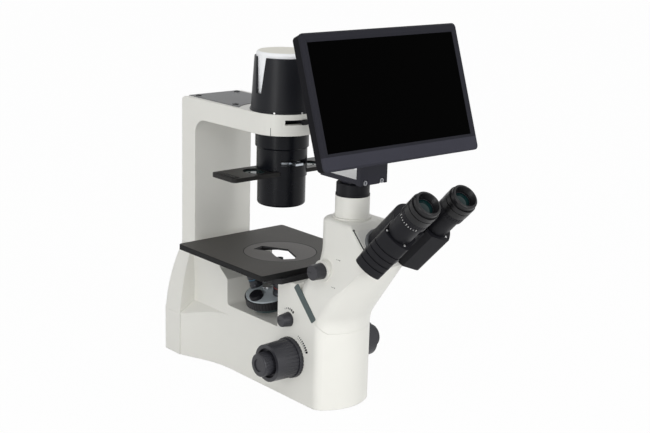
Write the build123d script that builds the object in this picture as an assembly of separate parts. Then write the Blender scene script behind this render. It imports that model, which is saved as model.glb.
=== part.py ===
from build123d import *
import os
from math import acos, atan2, cos, degrees, hypot, pi, radians, sin, sqrt, tan

# An inverted microscope with a screen on its photo port.
# The pieces are laid out about the optical axis (x = 0, y = 0) with z = 0 on the table, in
# millimetres. The user sits on the -y side. AXIS_Y then moves everything so that the origin is
# under the middle of the whole instrument.
AXIS_Y = 76.4

# Clearances
RUN = 0.05          # radial, shaft in its hole
SLIP = 0.3          # between faces of pieces that move past each other
SEAT_GAP = 0.1      # radial, fixed plug in its hole

# Base casting, its skirt and the hips below the pillar
FOOT_H = 3.0
FOOT_R = 11.0
FOOT_FRONT = (36.0, -136.0)
FOOT_REAR_IN = 20.0      # from the skirt's side
FOOT_REAR_Y = 172.0
BASE_PLATE_T = 3.0
BASE_RIM = 5.0
BASE_LEDGE = 5.0
BASE_WALL = 6.5
BODY_HALF = 50.5
FRONT_Y = -169.5
FRONT_R = 70.0
FRONT_CORNER_R = 18.0
SKIRT_HALF = 78.0
SKIRT_REAR = 198.0
SKIRT_CORNER_R = 12.0
SKIRT_START = 50.0
SKIRT_IN_R = 170.0
SKIRT_OUT_R = 70.0
SKIRT_ANGLE = 22.0
SKIRT_TOP_IN = 88.0
SKIRT_TOP_OUT = 70.0
SKIRT_ROOM_TOP = 58.0
HIP_Z = 50.0
HIP_FRONT = 150.0
HIP_TOP_HALF = 54.0
HIP_TOP_BACK = 184.0
HIP_ROOF = 10.0

# Stage
STAGE_TOP = 194.0
STAGE_T = 8.0
STAGE_HALF = 100.0
STAGE_FRONT = -86.0
STAGE_BACK = 121.0
STAGE_CORNER_R = 5.0
STAGE_EDGE = 0.8
SUPPORT_T = 8.0
SUPPORT_HALF = 78.0
SUPPORT_FRONT = -90.0
SUPPORT_BACK = 112.0
SUPPORT_CORNER = 10.0
SUPPORT_HOLE_R = 64.0
INSERT_R = 55.0
INSERT_T = 3.0
INSERT_LEDGE = 5.0
INSERT_HOLE = ((-25, 33), (-3, 39.5), (17, 2), (1.5, -37), (-7, -43), (-24, -34), (-21, -15), (-11, 10))
INSERT_HOLE_R = 1.5
STAGE_SCREW_X = 40.0
STAGE_SCREW_OUT = 66.0
STAGE_SCREW_FRONT = -78.0
STAGE_SCREW_BACK = 98.0
SCREW_R = 2.5
SCREW_HEAD_R = 4.5
SCREW_HEAD_T = 3.0
SCREW_LENGTH = 14.0

# Window in the base for the nosepiece
WINDOW_FRONT = -60.0
WINDOW_BACK = 62.5
WINDOW_FLOOR = 103.5
WINDOW_STEP_Z = 143.5
WINDOW_TOP_BACK = 83.0
WINDOW_TOP_Z = 159.0
WINDOW_FILLET = 6.0
DRIVE_ROOF = 76.0
LIGHT_HOLE_R = 12.0

# Sloping joint between base and head
SEAT_TOP_Y = -99.7
SEAT_ANGLE = 46.6
SEAT_FLAT_Z = 116.3
SEAT_HOLE_R = 10.0
SEAT_HOLE_Y = -149.0
STRIP_LENGTH = 59.0
STRIP_WIDTH = 11.5
STRIP_T = 1.2
STRIP_START = 2.0

# Pillar and arm
PILLAR_HALF = 53.0
PILLAR_FRONT = 145.0
PILLAR_BACK = 183.0
PILLAR_WALL = 7.0
PILLAR_EDGE_R = 5.0
ARM_TOP = 408.0
ARM_T = 31.0
ARM_END_R = 48.0
ARM_INNER_R = 22.0
ARM_OUTER_R = 14.0
COVER_HALF = 45.0
COVER_FRONT_R = 64.0
COVER_BACK = 172.0
COVER_T = 3.0
COVER_PROUD = 0.8
COVER_SCREW_Y = (66.0, 160.0)
COVER_SCREW_X = 36.0

# Lamp house on the arm
LAMP_BASE_R = 46.5
LAMP_TOP_R = 42.0
LAMP_H = 78.0
LAMP_WALL = 2.0
LAMP_LIP = 1.0
LAMP_LIP_H = 3.0
LAMP_SLOT_TOP = 22.0
LAMP_SLOT_BOTTOM = 11.0
LAMP_SLOT_Z = 27.0
CAP_R = 39.4
CAP_H = 86.0
CAP_WALL = 2.5
CAP_EDGE_R = 5.0
LAMP_POST_R = 29.0
LAMP_POST_H = 46.0
LAMP_PLATE_T = 4.0
BULB_R = 6.0
BULB_H = 20.0
COLLECTOR_R = 25.0
FIELD_ROOM_R = 38.0
FIELD_ROOM_TOP = 400.0
FIELD_RING_R = 34.0
FIELD_RING_BORE = 20.0
FIELD_RING_T = 4.0
FIELD_SLOT_HALF = 34.0
FIELD_SLOT_H = 7.0
FIELD_LEVER_W = 8.0
FIELD_LEVER_R = 54.0

# Condenser under the arm
COLLAR_R = 39.3
COLLAR_H = 23.2
COLLAR_CHAMFER = 2.0
COLLAR_WALL = 8.0
UPPER_R = 37.1
UPPER_H = 41.0
UPPER_BORE = 28.0
LOWER_R = 35.5
LOWER_H = 43.7
LOWER_EDGE_R = 4.0
LOWER_BORE = 27.0
LENS_T = 7.0
LENS_DEPTH = 4.0
SLIDER_HALF_X = 107.0
SLIDER_HALF_Y = 27.5
SLIDER_T = 6.0
SLIDER_LIFT = 4.0
SLIDER_HOLE_R = 17.0
SLIDER_PITCH = 50.0
RING_T = 2.0
RING_SLIT_OUT = 9.0
RING_SLIT_IN = 7.0
IRIS_LIFT = 19.0
IRIS_T = 3.0
IRIS_RING_BORE = 16.0
IRIS_SLOT_H = 8.0
IRIS_SLOT_HALF = 40.0
IRIS_LEVER_W = 14.0
IRIS_LEVER_R = 41.0

# Nosepiece
TURRET_TILT = 15.0
TURRET_LEAN = 186.0     # direction its axis leans to, from +x
PORT_PITCH_R = 24.0
PORT_HEIGHT = 20.0
PORT_Z = 146.0
PORT_R = 9.0
SHOULDER_R = 10.4
PORT_COUNT = 4
TURRET_R = 33.0
TURRET_SHELL_R = 34.5
GRIP_R = 36.5
GRIP_LOW = 3.5
GRIP_HIGH = 15.5
GRIP_GROOVES = 48
GRIP_GROOVE_R = 1.0
HUB_FLAT_R = 9.0
TURRET_WALL = 3.5
TURRET_ROOF = 5.0
OBJECTIVE_BORE = 7.0
TIP_R = 5.0
PLUG_H = 6.0
PLUG_PORT = 2
OBJECTIVE_PORTS = (0, 1, 3)
PIVOT_R = 5.0
PIVOT_HEAD_R = 7.5
PIVOT_HEAD_T = 3.0
PLATE_R = 29.0
PLATE_T = 7.5
RAIL_HALF = 14.0
RAIL_T = 8.0
RAIL_LOW = 106.0
RAIL_HIGH = 168.0
CHEEK_T = 9.0
CARRIAGE_T = 9.0
CARRIAGE_LOW = 108.0
CARRIAGE_HIGH = 158.0
BRIDGE_NEAR = 5.0
BRIDGE_FAR = 29.0
OBJECTIVE_LENGTHS = (38.5, 33.0, 36.0)

# Focus drive
FOCUS_Y = -92.0
FOCUS_Z = 66.5
PINION_TEETH = 14
MODULE = 1.0
PINION_W = 14.0
TOOTH_SLACK = 0.35
COARSE_SHAFT_R = 5.0
FINE_SHAFT_R = 3.0
RACK_T = 8.0
RACK_HALF = 6.0
RACK_LOW = 57.0
RACK_HIGH = 140.0
RACK_TEETH = 6
TONGUE_HALF = 6.0
TONGUE_LOW = 124.0
TONGUE_HIGH = 138.0
FOCUS_UP = 5.0
FOCUS_DOWN = 3.0
TENSION_R = 30.0
TENSION_T = 6.0
TENSION_DRAFT = 0.4
TENSION_NOTCHES = 36
COARSE_R = 28.0
COARSE_FRONT = 94.0
COARSE_DRAFT = 1.0
COARSE_RIBS = 30
COARSE_GROOVE_R = 1.7
COARSE_DISH_R = 21.5
COARSE_DISH = 7.0
FINE_R = 17.0
FINE_FRONT = 109.0
FINE_EDGE_R = 2.5
FINE_RIBS = 26
FINE_GROOVE_R = 1.0
FINE_DISH_R = 9.5
FINE_DISH = 1.5
FINE_WALL = 5.0

# Lamp dimmer
DIMMER_Y = -86.0
DIMMER_Z = 122.0
DIMMER_R = 10.7
DIMMER_TIP_R = 8.6
DIMMER_L = 15.0
DIMMER_SHAFT_R = 3.0
DIMMER_SHAFT_IN = 5.0

# Rear sockets
SOCKET_Z = 34.0
INLET_X = 26.0
INLET_W = 28.0
INLET_H = 20.0
INLET_D = 24.0
SWITCH_W = 20.0
SWITCH_H = 14.0
SWITCH_D = 16.0
SOCKET_RIM = 2.5
PIN_PITCH = 6.0
PIN_T = 2.0
SOCKET_RIM_T = 1.5
SOCKET_WALL = 2.0
ROCKER_DEPTH = 5.0
ROCKER_TILT = 8.0
ROCKER_PIN_R = 1.2
ROCKER_PIN_L = 1.5

# Head
PHOTO_Y = -157.5
HEAD_TOP = 281.0
HEAD_BACK = -124.0
HEAD_KINK_Z = 203.0
HEAD_HALF = 36.0
HEAD_SHOULDER_LOW = 180.0
HEAD_SHOULDER_HIGH = 236.0
HEAD_SHOULDER_R = 60.0
HEAD_KINK_R = 25.0
HEAD_BACK_R = 24.0
HEAD_EDGE_R = 6.0
MARGIN = 20.0
HEAD_CHIN_ANGLE = 54.0
CHIN_BEND_R = 40.0
CHIN_STEPS = 6
FACE_Y = -220.9
FACE_Z = 251.2
FACE_DOWN = 29.0
HEAD_BORE_R = 18.0
FACE_BORE_R = 15.0
SELECT_Y = -152.0
SELECT_Z = 210.0
SELECT_R = 11.5
SELECT_L = 17.0
SELECT_BOSS_R = 15.0
SELECT_BOSS_X = 48.0
SELECT_SHAFT_R = 4.0
SELECT_RIBS = 24
FLAG_L = 12.0
FLAG_HALF = 9.0
FLAG_T = 2.5
PRISM_HALF = 10.0
PRISM_HOLE_R = 8.0
PRISM_Z = 188.0

# Photo port
TUBE_R = 24.0
TUBE_H = 32.0
TUBE_WALL = 5.0
TUBE_BOSS_R = 27.0
TUBE_BOSS_H = 2.5
ADAPTER_R = 23.2
ADAPTER_H = 18.0
ADAPTER_FLANGE_R = 24.0
ADAPTER_FLANGE_H = 2.5
ADAPTER_BORE = 15.0
NECK_R = 17.0
NECK_H = 4.0
SPIGOT_L = 12.0

# Screen and its bracket
SCREEN_W = 277.0
SCREEN_H = 176.5
SCREEN_T = 18.0
SCREEN_TAPER = 1.5
SCREEN_CORNER_R = 6.0
SCREEN_MID_Y = -231.9
SCREEN_MID_Z = 462.8
SCREEN_LEAN = 18.95
BEZEL_T = 5.0
BEZEL_SIDE = 10.0
BEZEL_TOP = 12.0
BEZEL_BOTTOM = 22.5
BEZEL_STEP = 2.0
BEZEL_EDGE = 2.5
BEZEL_SLOPE_W = 4.0
BEZEL_SLOPE_D = 1.6
BEZEL_LAP = 3.0
SHELL_WALL = 2.5
EAR_ROOT = 14.0
PACK_UP = 8.0
GLASS_T = 1.5
PACK_W = 150.0
PACK_H = 90.0
PACK_T = 8.0
HINGE_Y = -203.0
HINGE_Z = 420.0
HINGE_R = 8.0
HINGE_PIN_R = 3.0
HINGE_HALF = 24.5
EAR_T = 9.0
FOOT_PLATE_T = 7.0
FOOT_PLATE_HALF = 21.0
FOOT_PLATE_BACK = -108.0
UPRIGHT_T = 8.0
UPRIGHT_FRONT = -199.0
NOTCH_HALF = 4.5
NOTCH_D = 3.0
UPRIGHT_SCREW_X = 15.0
UPRIGHT_SCREW_R = 2.0
UPRIGHT_SCREW_HEAD_R = 3.4

# Binocular
SWING_R = 38.0
SWING_ANGLE = 61.2
HUB_R = 28.0
HUB_T = 6.0
HUB_PLATE = 62.0
HUB_PLATE_R = 8.0
HUB_PLATE_T = 1.5
HUB_POST_R = 9.0
HUB_CAP_R = 13.0
HUB_CAP_T = 4.0
BARREL_R = 25.0
BARREL_SPLIT = 40.0
BOX_LOW = 2.0
BOX_TOP = 77.0
BOX_FLOOR = 20.0
BOX_UPPER_SIDE = 18.3
BOX_LOWER_SIDE = 22.0
BOX_NEAR = 12.0
BOX_OUT = 16.0
BOX_END = 21.0
BOX_CORNER_R = 5.0
BOX_CLOSED = 37.0       # half angle left free between the two housings at the smallest eye spacing
BOX_BRIDGE = 32.0
BOX_BRIDGE_HALF = 16.0
RIB_FIRST = 16.0
RIB_PITCH = 12.0
RIB_COUNT = 4
RIB_W = 2.4
RIB_DEPTH = 1.2
RIB_BACK = 4.0
EYE_TUBE_R = 17.8
EYE_TUBE_TOP = 110.0
EYE_TUBE_WALL = 2.0
EYE_SPIGOT_L = 5.0
NECK_GROOVE = 1.5
DIOPTER_R = 20.0
DIOPTER_H = 11.0
DIOPTER_NOTCHES = 30
DIOPTER_BORE = 15.0
EYEPIECE_R = 20.3
EYEPIECE_BORE = 12.5
EYEPIECE_TOP = 139.0
EYEPIECE_GROOVE = 131.0
EYEPIECE_GROOVE_W = 1.4
CUP_STEP = 0.6
CUP_R = 18.6
CUP_TOP = 147.0
CUP_EDGE_R = 2.2
CUP_MOUTH_R = 15.4
EYE_LENS_Z = 140.0

# Heights and places that follow from the sizes above
BASE_BOTTOM = FOOT_H
FLOOR_Z = BASE_BOTTOM + BASE_PLATE_T
SUPPORT_TOP = STAGE_TOP - STAGE_T
BASE_TOP = SUPPORT_TOP - SUPPORT_T
ARM_BOTTOM = ARM_TOP - ARM_T
COLLAR_LOW = ARM_BOTTOM - COLLAR_H
UPPER_LOW = COLLAR_LOW - UPPER_H
LOWER_LOW = UPPER_LOW - LOWER_H
SLIDER_LOW = UPPER_LOW + SLIDER_LIFT
IRIS_LOW = UPPER_LOW + IRIS_LIFT
SEAT_SLOPE = tan(radians(SEAT_ANGLE))
SEAT_FLAT_Y = SEAT_TOP_Y - (BASE_TOP - SEAT_FLAT_Z) / SEAT_SLOPE
SIDE_START = FRONT_Y + FRONT_R - sqrt(FRONT_R ** 2 - BODY_HALF ** 2)
TILT = radians(TURRET_TILT)
TURRET_WAY = radians(TURRET_LEAN)
TURRET_OFF = PORT_PITCH_R * cos(TILT) - PORT_HEIGHT * sin(TILT)
TURRET_X = TURRET_OFF * cos(TURRET_WAY)
TURRET_Y = TURRET_OFF * sin(TURRET_WAY)
TURRET_Z = PORT_Z - PORT_PITCH_R * sin(TILT) - PORT_HEIGHT * cos(TILT)
PINION_R = MODULE * PINION_TEETH / 2
ADAPTER_LOW = HEAD_TOP + TUBE_H
NECK_LOW = ADAPTER_LOW + ADAPTER_H
BRACKET_LOW = NECK_LOW + NECK_H
BRACKET_TOP = BRACKET_LOW + FOOT_PLATE_T
UPRIGHT_BACK = UPRIGHT_FRONT + UPRIGHT_T
CHEEK_FRONT = WINDOW_FRONT + SLIP
RAIL_FACE = WINDOW_FRONT + RAIL_T

LOW = Align.MIN
MID = Align.CENTER
TURRET_UP = (sin(TILT) * cos(TURRET_WAY), sin(TILT) * sin(TURRET_WAY), cos(TILT))
TURRET = Plane(origin=(TURRET_X, TURRET_Y, TURRET_Z), x_dir=(sin(TURRET_WAY), -cos(TURRET_WAY), 0),
               z_dir=TURRET_UP)
FACE = Plane(origin=(0, FACE_Y, FACE_Z), x_dir=(1, 0, 0), z_dir=(0, -1, 1))
LEAN = radians(SCREEN_LEAN)
SCREEN = Plane(origin=(0, SCREEN_MID_Y, SCREEN_MID_Z), x_dir=(1, 0, 0), z_dir=(0, -cos(LEAN), sin(LEAN)))


def block(x, y, z):
    """A box from three (low, high) pairs."""
    spans = (x, y, z)
    size = [high - low for low, high in spans]
    middle = [(high + low) / 2 for low, high in spans]
    return Pos(*middle) * Box(*size)


def disc(radius, low, high, x=0.0, y=0.0):
    """An upright cylinder between two heights."""
    return Pos(x, y, low) * Cylinder(radius, high - low, align=(MID, MID, LOW))


def rod(radius, low, high, y, z):
    """A cylinder along x between two places."""
    return Pos(low, y, z) * Rot(0, 90, 0) * Cylinder(radius, high - low, align=(MID, MID, LOW))


def turned(*profile):
    """A body turned about z from (radius, height) points."""
    return revolve(Plane.XZ * make_face(Polyline(*profile, close=True)), Axis.Z)


def side_prism(points, low, high):
    """A (y, z) outline drawn out along x."""
    return extrude(Plane.YZ.offset(low) * make_face(Polyline(*points, close=True)), high - low)


def front_prism(points, front, back):
    """An (x, z) outline drawn out along y."""
    return extrude(Plane.XZ.offset(-back) * make_face(Polyline(*points, close=True)), back - front)


def mirrored(part):
    """The same piece on the other side of the instrument."""
    return mirror(part, about=Plane.YZ)


def screw(head_r, head_t, shank_r, shank_l):
    """A cap screw with its head's underside at z = 0 and its shank below."""
    body = disc(head_r, 0, head_t) + disc(shank_r, -shank_l, 0)
    socket = Pos(0, 0, head_t) * extrude(RegularPolygon(head_r * 0.55, 6), -head_t * 0.6)
    return body - socket


def body_outline():
    """Plan of the narrow body: round front and straight sides."""
    front = ThreePointArc((BODY_HALF, SIDE_START), (0, FRONT_Y), (-BODY_HALF, SIDE_START))
    sides = Polyline((-BODY_HALF, SIDE_START), (-BODY_HALF, HIP_TOP_BACK), (BODY_HALF, HIP_TOP_BACK),
                     (BODY_HALF, SIDE_START))
    return round_front(make_face([front, sides]))


def round_front(face):
    """Soften the two corners where the curved front meets the sides."""
    corners = [v for v in face.vertices() if abs(v.Y - SIDE_START) < 1]
    return fillet(corners, FRONT_CORNER_R)


def skirt_outline():
    """Plan of the skirt: the body's front, then an S on each side out to the wide rear.

    The S is a slanted wall with a rounded bend at each end; a bend is no larger than its walls allow."""
    turn = radians(SKIRT_ANGLE)
    bend = tan(turn / 2)
    slant = (SKIRT_HALF - BODY_HALF) / sin(turn)
    in_r = min(SKIRT_IN_R, slant / bend * SKIRT_IN_R / (SKIRT_IN_R + SKIRT_OUT_R))
    rear_wall = SKIRT_REAR - SKIRT_START - in_r * bend - slant * cos(turn)
    out_r = min(SKIRT_OUT_R, slant / bend - in_r, rear_wall / 2 / bend)
    corner_r = min(SKIRT_CORNER_R, rear_wall / 2)
    ramp = slant - (in_r + out_r) * bend
    front = ThreePointArc((BODY_HALF, SIDE_START), (0, FRONT_Y), (-BODY_HALF, SIDE_START))
    side = Line((-BODY_HALF, SIDE_START), (-BODY_HALF, SKIRT_START))
    first = JernArc(side @ 1, (0, 1), in_r, SKIRT_ANGLE)
    half = [side, first]
    if ramp > SLIP:
        half.append(PolarLine(first @ 1, ramp, direction=first % 1))
    last = JernArc(half[-1] @ 1, half[-1] % 1, out_r, -SKIRT_ANGLE)
    half += [last, Line(last @ 1, (-SKIRT_HALF, SKIRT_REAR))]
    other = [mirror(edge, about=Plane.YZ) for edge in half]
    back = Line((-SKIRT_HALF, SKIRT_REAR), (SKIRT_HALF, SKIRT_REAR))
    face = round_front(make_face([front, back] + half + other))
    return fillet([v for v in face.vertices() if v.Y > SKIRT_REAR - 1], corner_r)


def hips():
    """The base's rear, which spreads from the pillar down to the skirt."""
    reach = BASE_TOP - HIP_Z
    spread = SKIRT_HALF - HIP_TOP_HALF
    side_r = (reach ** 2 + spread ** 2) / (2 * spread)
    swell = SKIRT_REAR - HIP_TOP_BACK
    back_r = (reach ** 2 + swell ** 2) / (2 * swell)
    left = RadiusArc((-HIP_TOP_HALF, BASE_TOP), (-SKIRT_HALF, HIP_Z), -side_r)
    right = mirror(left, about=Plane.YZ)
    outline = Polyline((-SKIRT_HALF, HIP_Z), (-SKIRT_HALF, BASE_BOTTOM), (SKIRT_HALF, BASE_BOTTOM),
                       (SKIRT_HALF, HIP_Z))
    top = Line((-HIP_TOP_HALF, BASE_TOP), (HIP_TOP_HALF, BASE_TOP))
    wide = extrude(Plane.XZ.offset(-SKIRT_REAR) * make_face([left, right, outline, top]),
                   SKIRT_REAR - HIP_FRONT)
    curve = RadiusArc((HIP_TOP_BACK, BASE_TOP), (SKIRT_REAR, HIP_Z), back_r)
    rest = Polyline((SKIRT_REAR, HIP_Z), (SKIRT_REAR, BASE_BOTTOM), (HIP_FRONT, BASE_BOTTOM),
                    (HIP_FRONT, BASE_TOP), (HIP_TOP_BACK, BASE_TOP))
    deep = extrude(Plane.YZ.offset(-SKIRT_HALF) * make_face([curve, rest]), 2 * SKIRT_HALF)
    block_part = wide & deep
    corners = [e for e in block_part.edges()
               if e.center().Y > HIP_TOP_BACK and abs(e.center().X) > HIP_TOP_HALF]
    return fillet(corners, SKIRT_CORNER_R)


def window_cut():
    """Space for the nosepiece, open to both sides and to the top."""
    outline = Polyline((WINDOW_FRONT, WINDOW_FLOOR), (WINDOW_BACK, WINDOW_FLOOR),
                       (WINDOW_BACK, WINDOW_STEP_Z), (WINDOW_TOP_BACK, WINDOW_TOP_Z),
                       (WINDOW_TOP_BACK, BASE_TOP), (WINDOW_FRONT, BASE_TOP), close=True)
    face = make_face(outline)
    corner = face.vertices().sort_by_distance((WINDOW_BACK, WINDOW_FLOOR))[0]
    face = fillet(corner, WINDOW_FILLET)
    return extrude(Plane.YZ.offset(-SKIRT_HALF) * face, 2 * SKIRT_HALF)


def seat_cut():
    """What the base gives up to the head: everything above the sloping joint."""
    far = FRONT_Y - BODY_HALF
    points = [(SEAT_TOP_Y, BASE_TOP), (SEAT_FLAT_Y, SEAT_FLAT_Z), (far, SEAT_FLAT_Z), (far, BASE_TOP)]
    return side_prism(points, -SKIRT_HALF, SKIRT_HALF)


def base_rooms():
    """Hollow of the base: rebate for the bottom plate, rooms for drive, optics and wiring."""
    plan = skirt_outline()
    rebate = Pos(0, 0, BASE_BOTTOM) * extrude(offset(plan, -BASE_RIM), BASE_PLATE_T)
    skirt_plan = offset(plan, -BASE_RIM - BASE_LEDGE)
    skirt_room = Pos(0, 0, FLOOR_Z) * extrude(skirt_plan, SKIRT_ROOM_TOP - FLOOR_Z)
    inner = Pos(0, 0, FLOOR_Z) * extrude(offset(body_outline(), -BASE_WALL), BASE_TOP - FLOOR_Z)
    drive_back = WINDOW_FRONT - BASE_WALL
    roof_z = BASE_TOP - HIP_ROOF
    chin_z = SEAT_FLAT_Z - HIP_ROOF
    profile = [(FRONT_Y, FLOOR_Z), (HIP_TOP_BACK, FLOOR_Z), (HIP_TOP_BACK, DRIVE_ROOF),
               (drive_back, DRIVE_ROOF), (drive_back, roof_z), (SEAT_TOP_Y, roof_z),
               (SEAT_FLAT_Y, chin_z), (FRONT_Y, chin_z)]
    main = inner & side_prism(profile, -BODY_HALF, BODY_HALF)
    shaft = block((-PILLAR_HALF + 2 * BASE_WALL, PILLAR_HALF - 2 * BASE_WALL),
                  (PILLAR_FRONT + BASE_WALL, PILLAR_BACK - BASE_WALL), (FLOOR_Z, roof_z))
    return rebate + skirt_room + main + shaft


def wire_duct(low, high):
    """Passage for the lamp's wires between base and pillar."""
    duct_half = PILLAR_HALF / 3
    depth = (PILLAR_FRONT + PILLAR_WALL, PILLAR_BACK - PILLAR_WALL)
    return block((-duct_half, duct_half), depth, (low, high))


def base_holes():
    """Holes for shafts, screws, light and the rear sockets."""
    cut = rod(COARSE_SHAFT_R + RUN, -SKIRT_HALF, SKIRT_HALF, FOCUS_Y, FOCUS_Z)
    cut += rod(DIMMER_SHAFT_R + RUN, -BODY_HALF - SLIP, 0, DIMMER_Y, DIMMER_Z)
    cut += disc(LIGHT_HOLE_R, FLOOR_Z, WINDOW_FLOOR)
    cut += disc(SEAT_HOLE_R, SEAT_FLAT_Z - 2 * HIP_ROOF, BASE_TOP, y=SEAT_HOLE_Y)
    cut += tongue_slot(WINDOW_FRONT - 2 * BASE_WALL, RAIL_FACE)
    for x in (-STAGE_SCREW_X, STAGE_SCREW_X):
        for y in (STAGE_SCREW_FRONT, STAGE_SCREW_BACK):
            cut += disc(SCREW_R + SEAT_GAP, BASE_TOP - SCREW_LENGTH, BASE_TOP, x, y)
    cut += wire_duct(BASE_TOP - 2 * HIP_ROOF, BASE_TOP)
    cut += socket_hole(INLET_X, INLET_W, INLET_H)
    cut += socket_hole(-INLET_X, SWITCH_W, SWITCH_H)
    return cut


def socket_hole(x, width, height):
    """Through hole in the rear wall."""
    return block((x - width / 2, x + width / 2), (SKIRT_REAR - 2 * BASE_RIM - BASE_LEDGE, SKIRT_REAR),
                 (SOCKET_Z - height / 2, SOCKET_Z + height / 2))


def base_casting():
    """White casting: skirt, body and hips in one, hollow from below."""
    slope = [(-SKIRT_HALF, BASE_BOTTOM), (-SKIRT_HALF, SKIRT_TOP_OUT), (-BODY_HALF, SKIRT_TOP_IN),
             (BODY_HALF, SKIRT_TOP_IN), (SKIRT_HALF, SKIRT_TOP_OUT), (SKIRT_HALF, BASE_BOTTOM)]
    skirt = Pos(0, 0, BASE_BOTTOM) * extrude(skirt_outline(), SKIRT_TOP_IN - BASE_BOTTOM)
    skirt &= front_prism(slope, FRONT_Y, SKIRT_REAR)
    body = Pos(0, 0, BASE_BOTTOM) * extrude(body_outline(), BASE_TOP - BASE_BOTTOM)
    whole = skirt + body + hips()
    whole -= seat_cut() + window_cut() + base_rooms()
    whole += guide_rail()
    return whole - base_holes()


def base_plate():
    """Bottom cover in its rebate, with a screw hole near each corner."""
    plate = Pos(0, 0, BASE_BOTTOM) * extrude(offset(skirt_outline(), -BASE_RIM - SEAT_GAP), BASE_PLATE_T)
    for x, y in foot_spots():
        plate -= disc(SCREW_R, BASE_BOTTOM, FLOOR_Z, x, y)
    return plate


def foot_spots():
    rear = (SKIRT_HALF - FOOT_REAR_IN, FOOT_REAR_Y)
    return [(side * x, y) for x, y in (FOOT_FRONT, rear) for side in (-1, 1)]


def rubber_feet():
    """Four rubber feet, each with a stud up into the bottom plate."""
    feet = []
    for x, y in foot_spots():
        foot = chamfer(disc(FOOT_R, 0, FOOT_H).edges().sort_by(Axis.Z)[0], FOOT_H / 3)
        feet.append(Pos(x, y, 0) * (foot + disc(SCREW_R - SEAT_GAP, FOOT_H, FLOOR_Z)))
    return Compound(feet)


def arm_plan():
    """Plan of pillar and arm: a round end whose tangents run back to the pillar."""
    lean = atan2(PILLAR_FRONT, PILLAR_HALF) - acos(ARM_END_R / hypot(PILLAR_FRONT, PILLAR_HALF))
    right = (ARM_END_R * cos(lean), ARM_END_R * sin(lean))
    left = (-right[0], right[1])
    end = ThreePointArc(right, (0, -ARM_END_R), left)
    rest = Polyline(left, (-PILLAR_HALF, PILLAR_FRONT), (-PILLAR_HALF, PILLAR_BACK),
                    (PILLAR_HALF, PILLAR_BACK), (PILLAR_HALF, PILLAR_FRONT), right)
    face = make_face([end, rest])
    return fillet([v for v in face.vertices() if v.Y > PILLAR_BACK - 1], PILLAR_EDGE_R)


def cover_plan(gap):
    """Plan of the grey cover on the arm, hollowed at the front round the lamp house."""
    half = COVER_HALF + gap
    start = sqrt(COVER_FRONT_R ** 2 - half ** 2)
    front = ThreePointArc((half, start), (0, COVER_FRONT_R - gap), (-half, start))
    rest = Polyline((-half, start), (-half, COVER_BACK + gap), (half, COVER_BACK + gap), (half, start))
    return make_face([front, rest])


def pillar_arm():
    """Pillar and arm in one casting."""
    outline = make_face(Polyline((PILLAR_BACK, BASE_TOP), (PILLAR_BACK, ARM_TOP), (-ARM_END_R, ARM_TOP),
                                 (-ARM_END_R, ARM_BOTTOM), (PILLAR_FRONT, ARM_BOTTOM),
                                 (PILLAR_FRONT, BASE_TOP), close=True))
    outline = fillet(outline.vertices().sort_by_distance((PILLAR_FRONT, ARM_BOTTOM))[0], ARM_INNER_R)
    outline = fillet(outline.vertices().sort_by_distance((PILLAR_BACK, ARM_TOP))[0], ARM_OUTER_R)
    shape = extrude(Plane.YZ.offset(-PILLAR_HALF) * outline, 2 * PILLAR_HALF)
    shape &= Pos(0, 0, BASE_TOP) * extrude(arm_plan(), ARM_TOP - BASE_TOP)
    cover_low = ARM_TOP + COVER_PROUD - COVER_T
    shape -= Pos(0, 0, cover_low) * extrude(cover_plan(SEAT_GAP), COVER_T)
    shape -= wire_duct(BASE_TOP, ARM_TOP)
    duct_half = PILLAR_HALF / 3
    shape -= block((-duct_half, duct_half), (COVER_FRONT_R + BASE_WALL, PILLAR_BACK - PILLAR_WALL),
                   (ARM_BOTTOM + PILLAR_WALL, ARM_TOP))
    for x, y in cover_screw_spots():
        shape -= disc(SCREW_R + SEAT_GAP, ARM_BOTTOM + SCREW_HEAD_T, ARM_TOP, x, y)
    shape -= disc(COLLECTOR_R, ARM_BOTTOM, ARM_TOP)
    shape -= disc(FIELD_ROOM_R, ARM_BOTTOM, FIELD_ROOM_TOP)
    return shape - sector(FIELD_SLOT_HALF, 2 * ARM_END_R, FIELD_ROOM_TOP - FIELD_SLOT_H, FIELD_ROOM_TOP)


def sector(half_angle, radius, low, high):
    """A wedge about the axis that opens to the front."""
    reach = radius * tan(radians(half_angle))
    wedge = make_face(Polyline((0, 0), (-reach, -radius), (reach, -radius), close=True))
    return Pos(0, 0, low) * extrude(wedge, high - low)


def cover_screw_spots():
    return [(side * COVER_SCREW_X, y) for y in COVER_SCREW_Y for side in (-1, 1)]


def arm_top_cover():
    """Grey lid over the arm's wiring."""
    lid = extrude(cover_plan(0), COVER_T)
    lid = chamfer(lid.edges().group_by(Axis.Z)[-1], COVER_PROUD / 2)
    lid = Pos(0, 0, ARM_TOP + COVER_PROUD - COVER_T) * lid
    for x, y in cover_screw_spots():
        lid -= disc(SCREW_R + SEAT_GAP, ARM_BOTTOM, ARM_TOP + COVER_T, x, y)
    return lid


def arm_cover_screws():
    """Four low screws through the lid."""
    one = screw(SCREW_HEAD_R, SCREW_HEAD_T / 2, SCREW_R, SCREW_LENGTH)
    return Compound([Pos(x, y, ARM_TOP + COVER_PROUD) * one for x, y in cover_screw_spots()])


def lamp_wall(z):
    """Outside radius of the lamp house at a height above the arm."""
    return LAMP_BASE_R + (LAMP_TOP_R - LAMP_BASE_R) * z / LAMP_H


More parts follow.
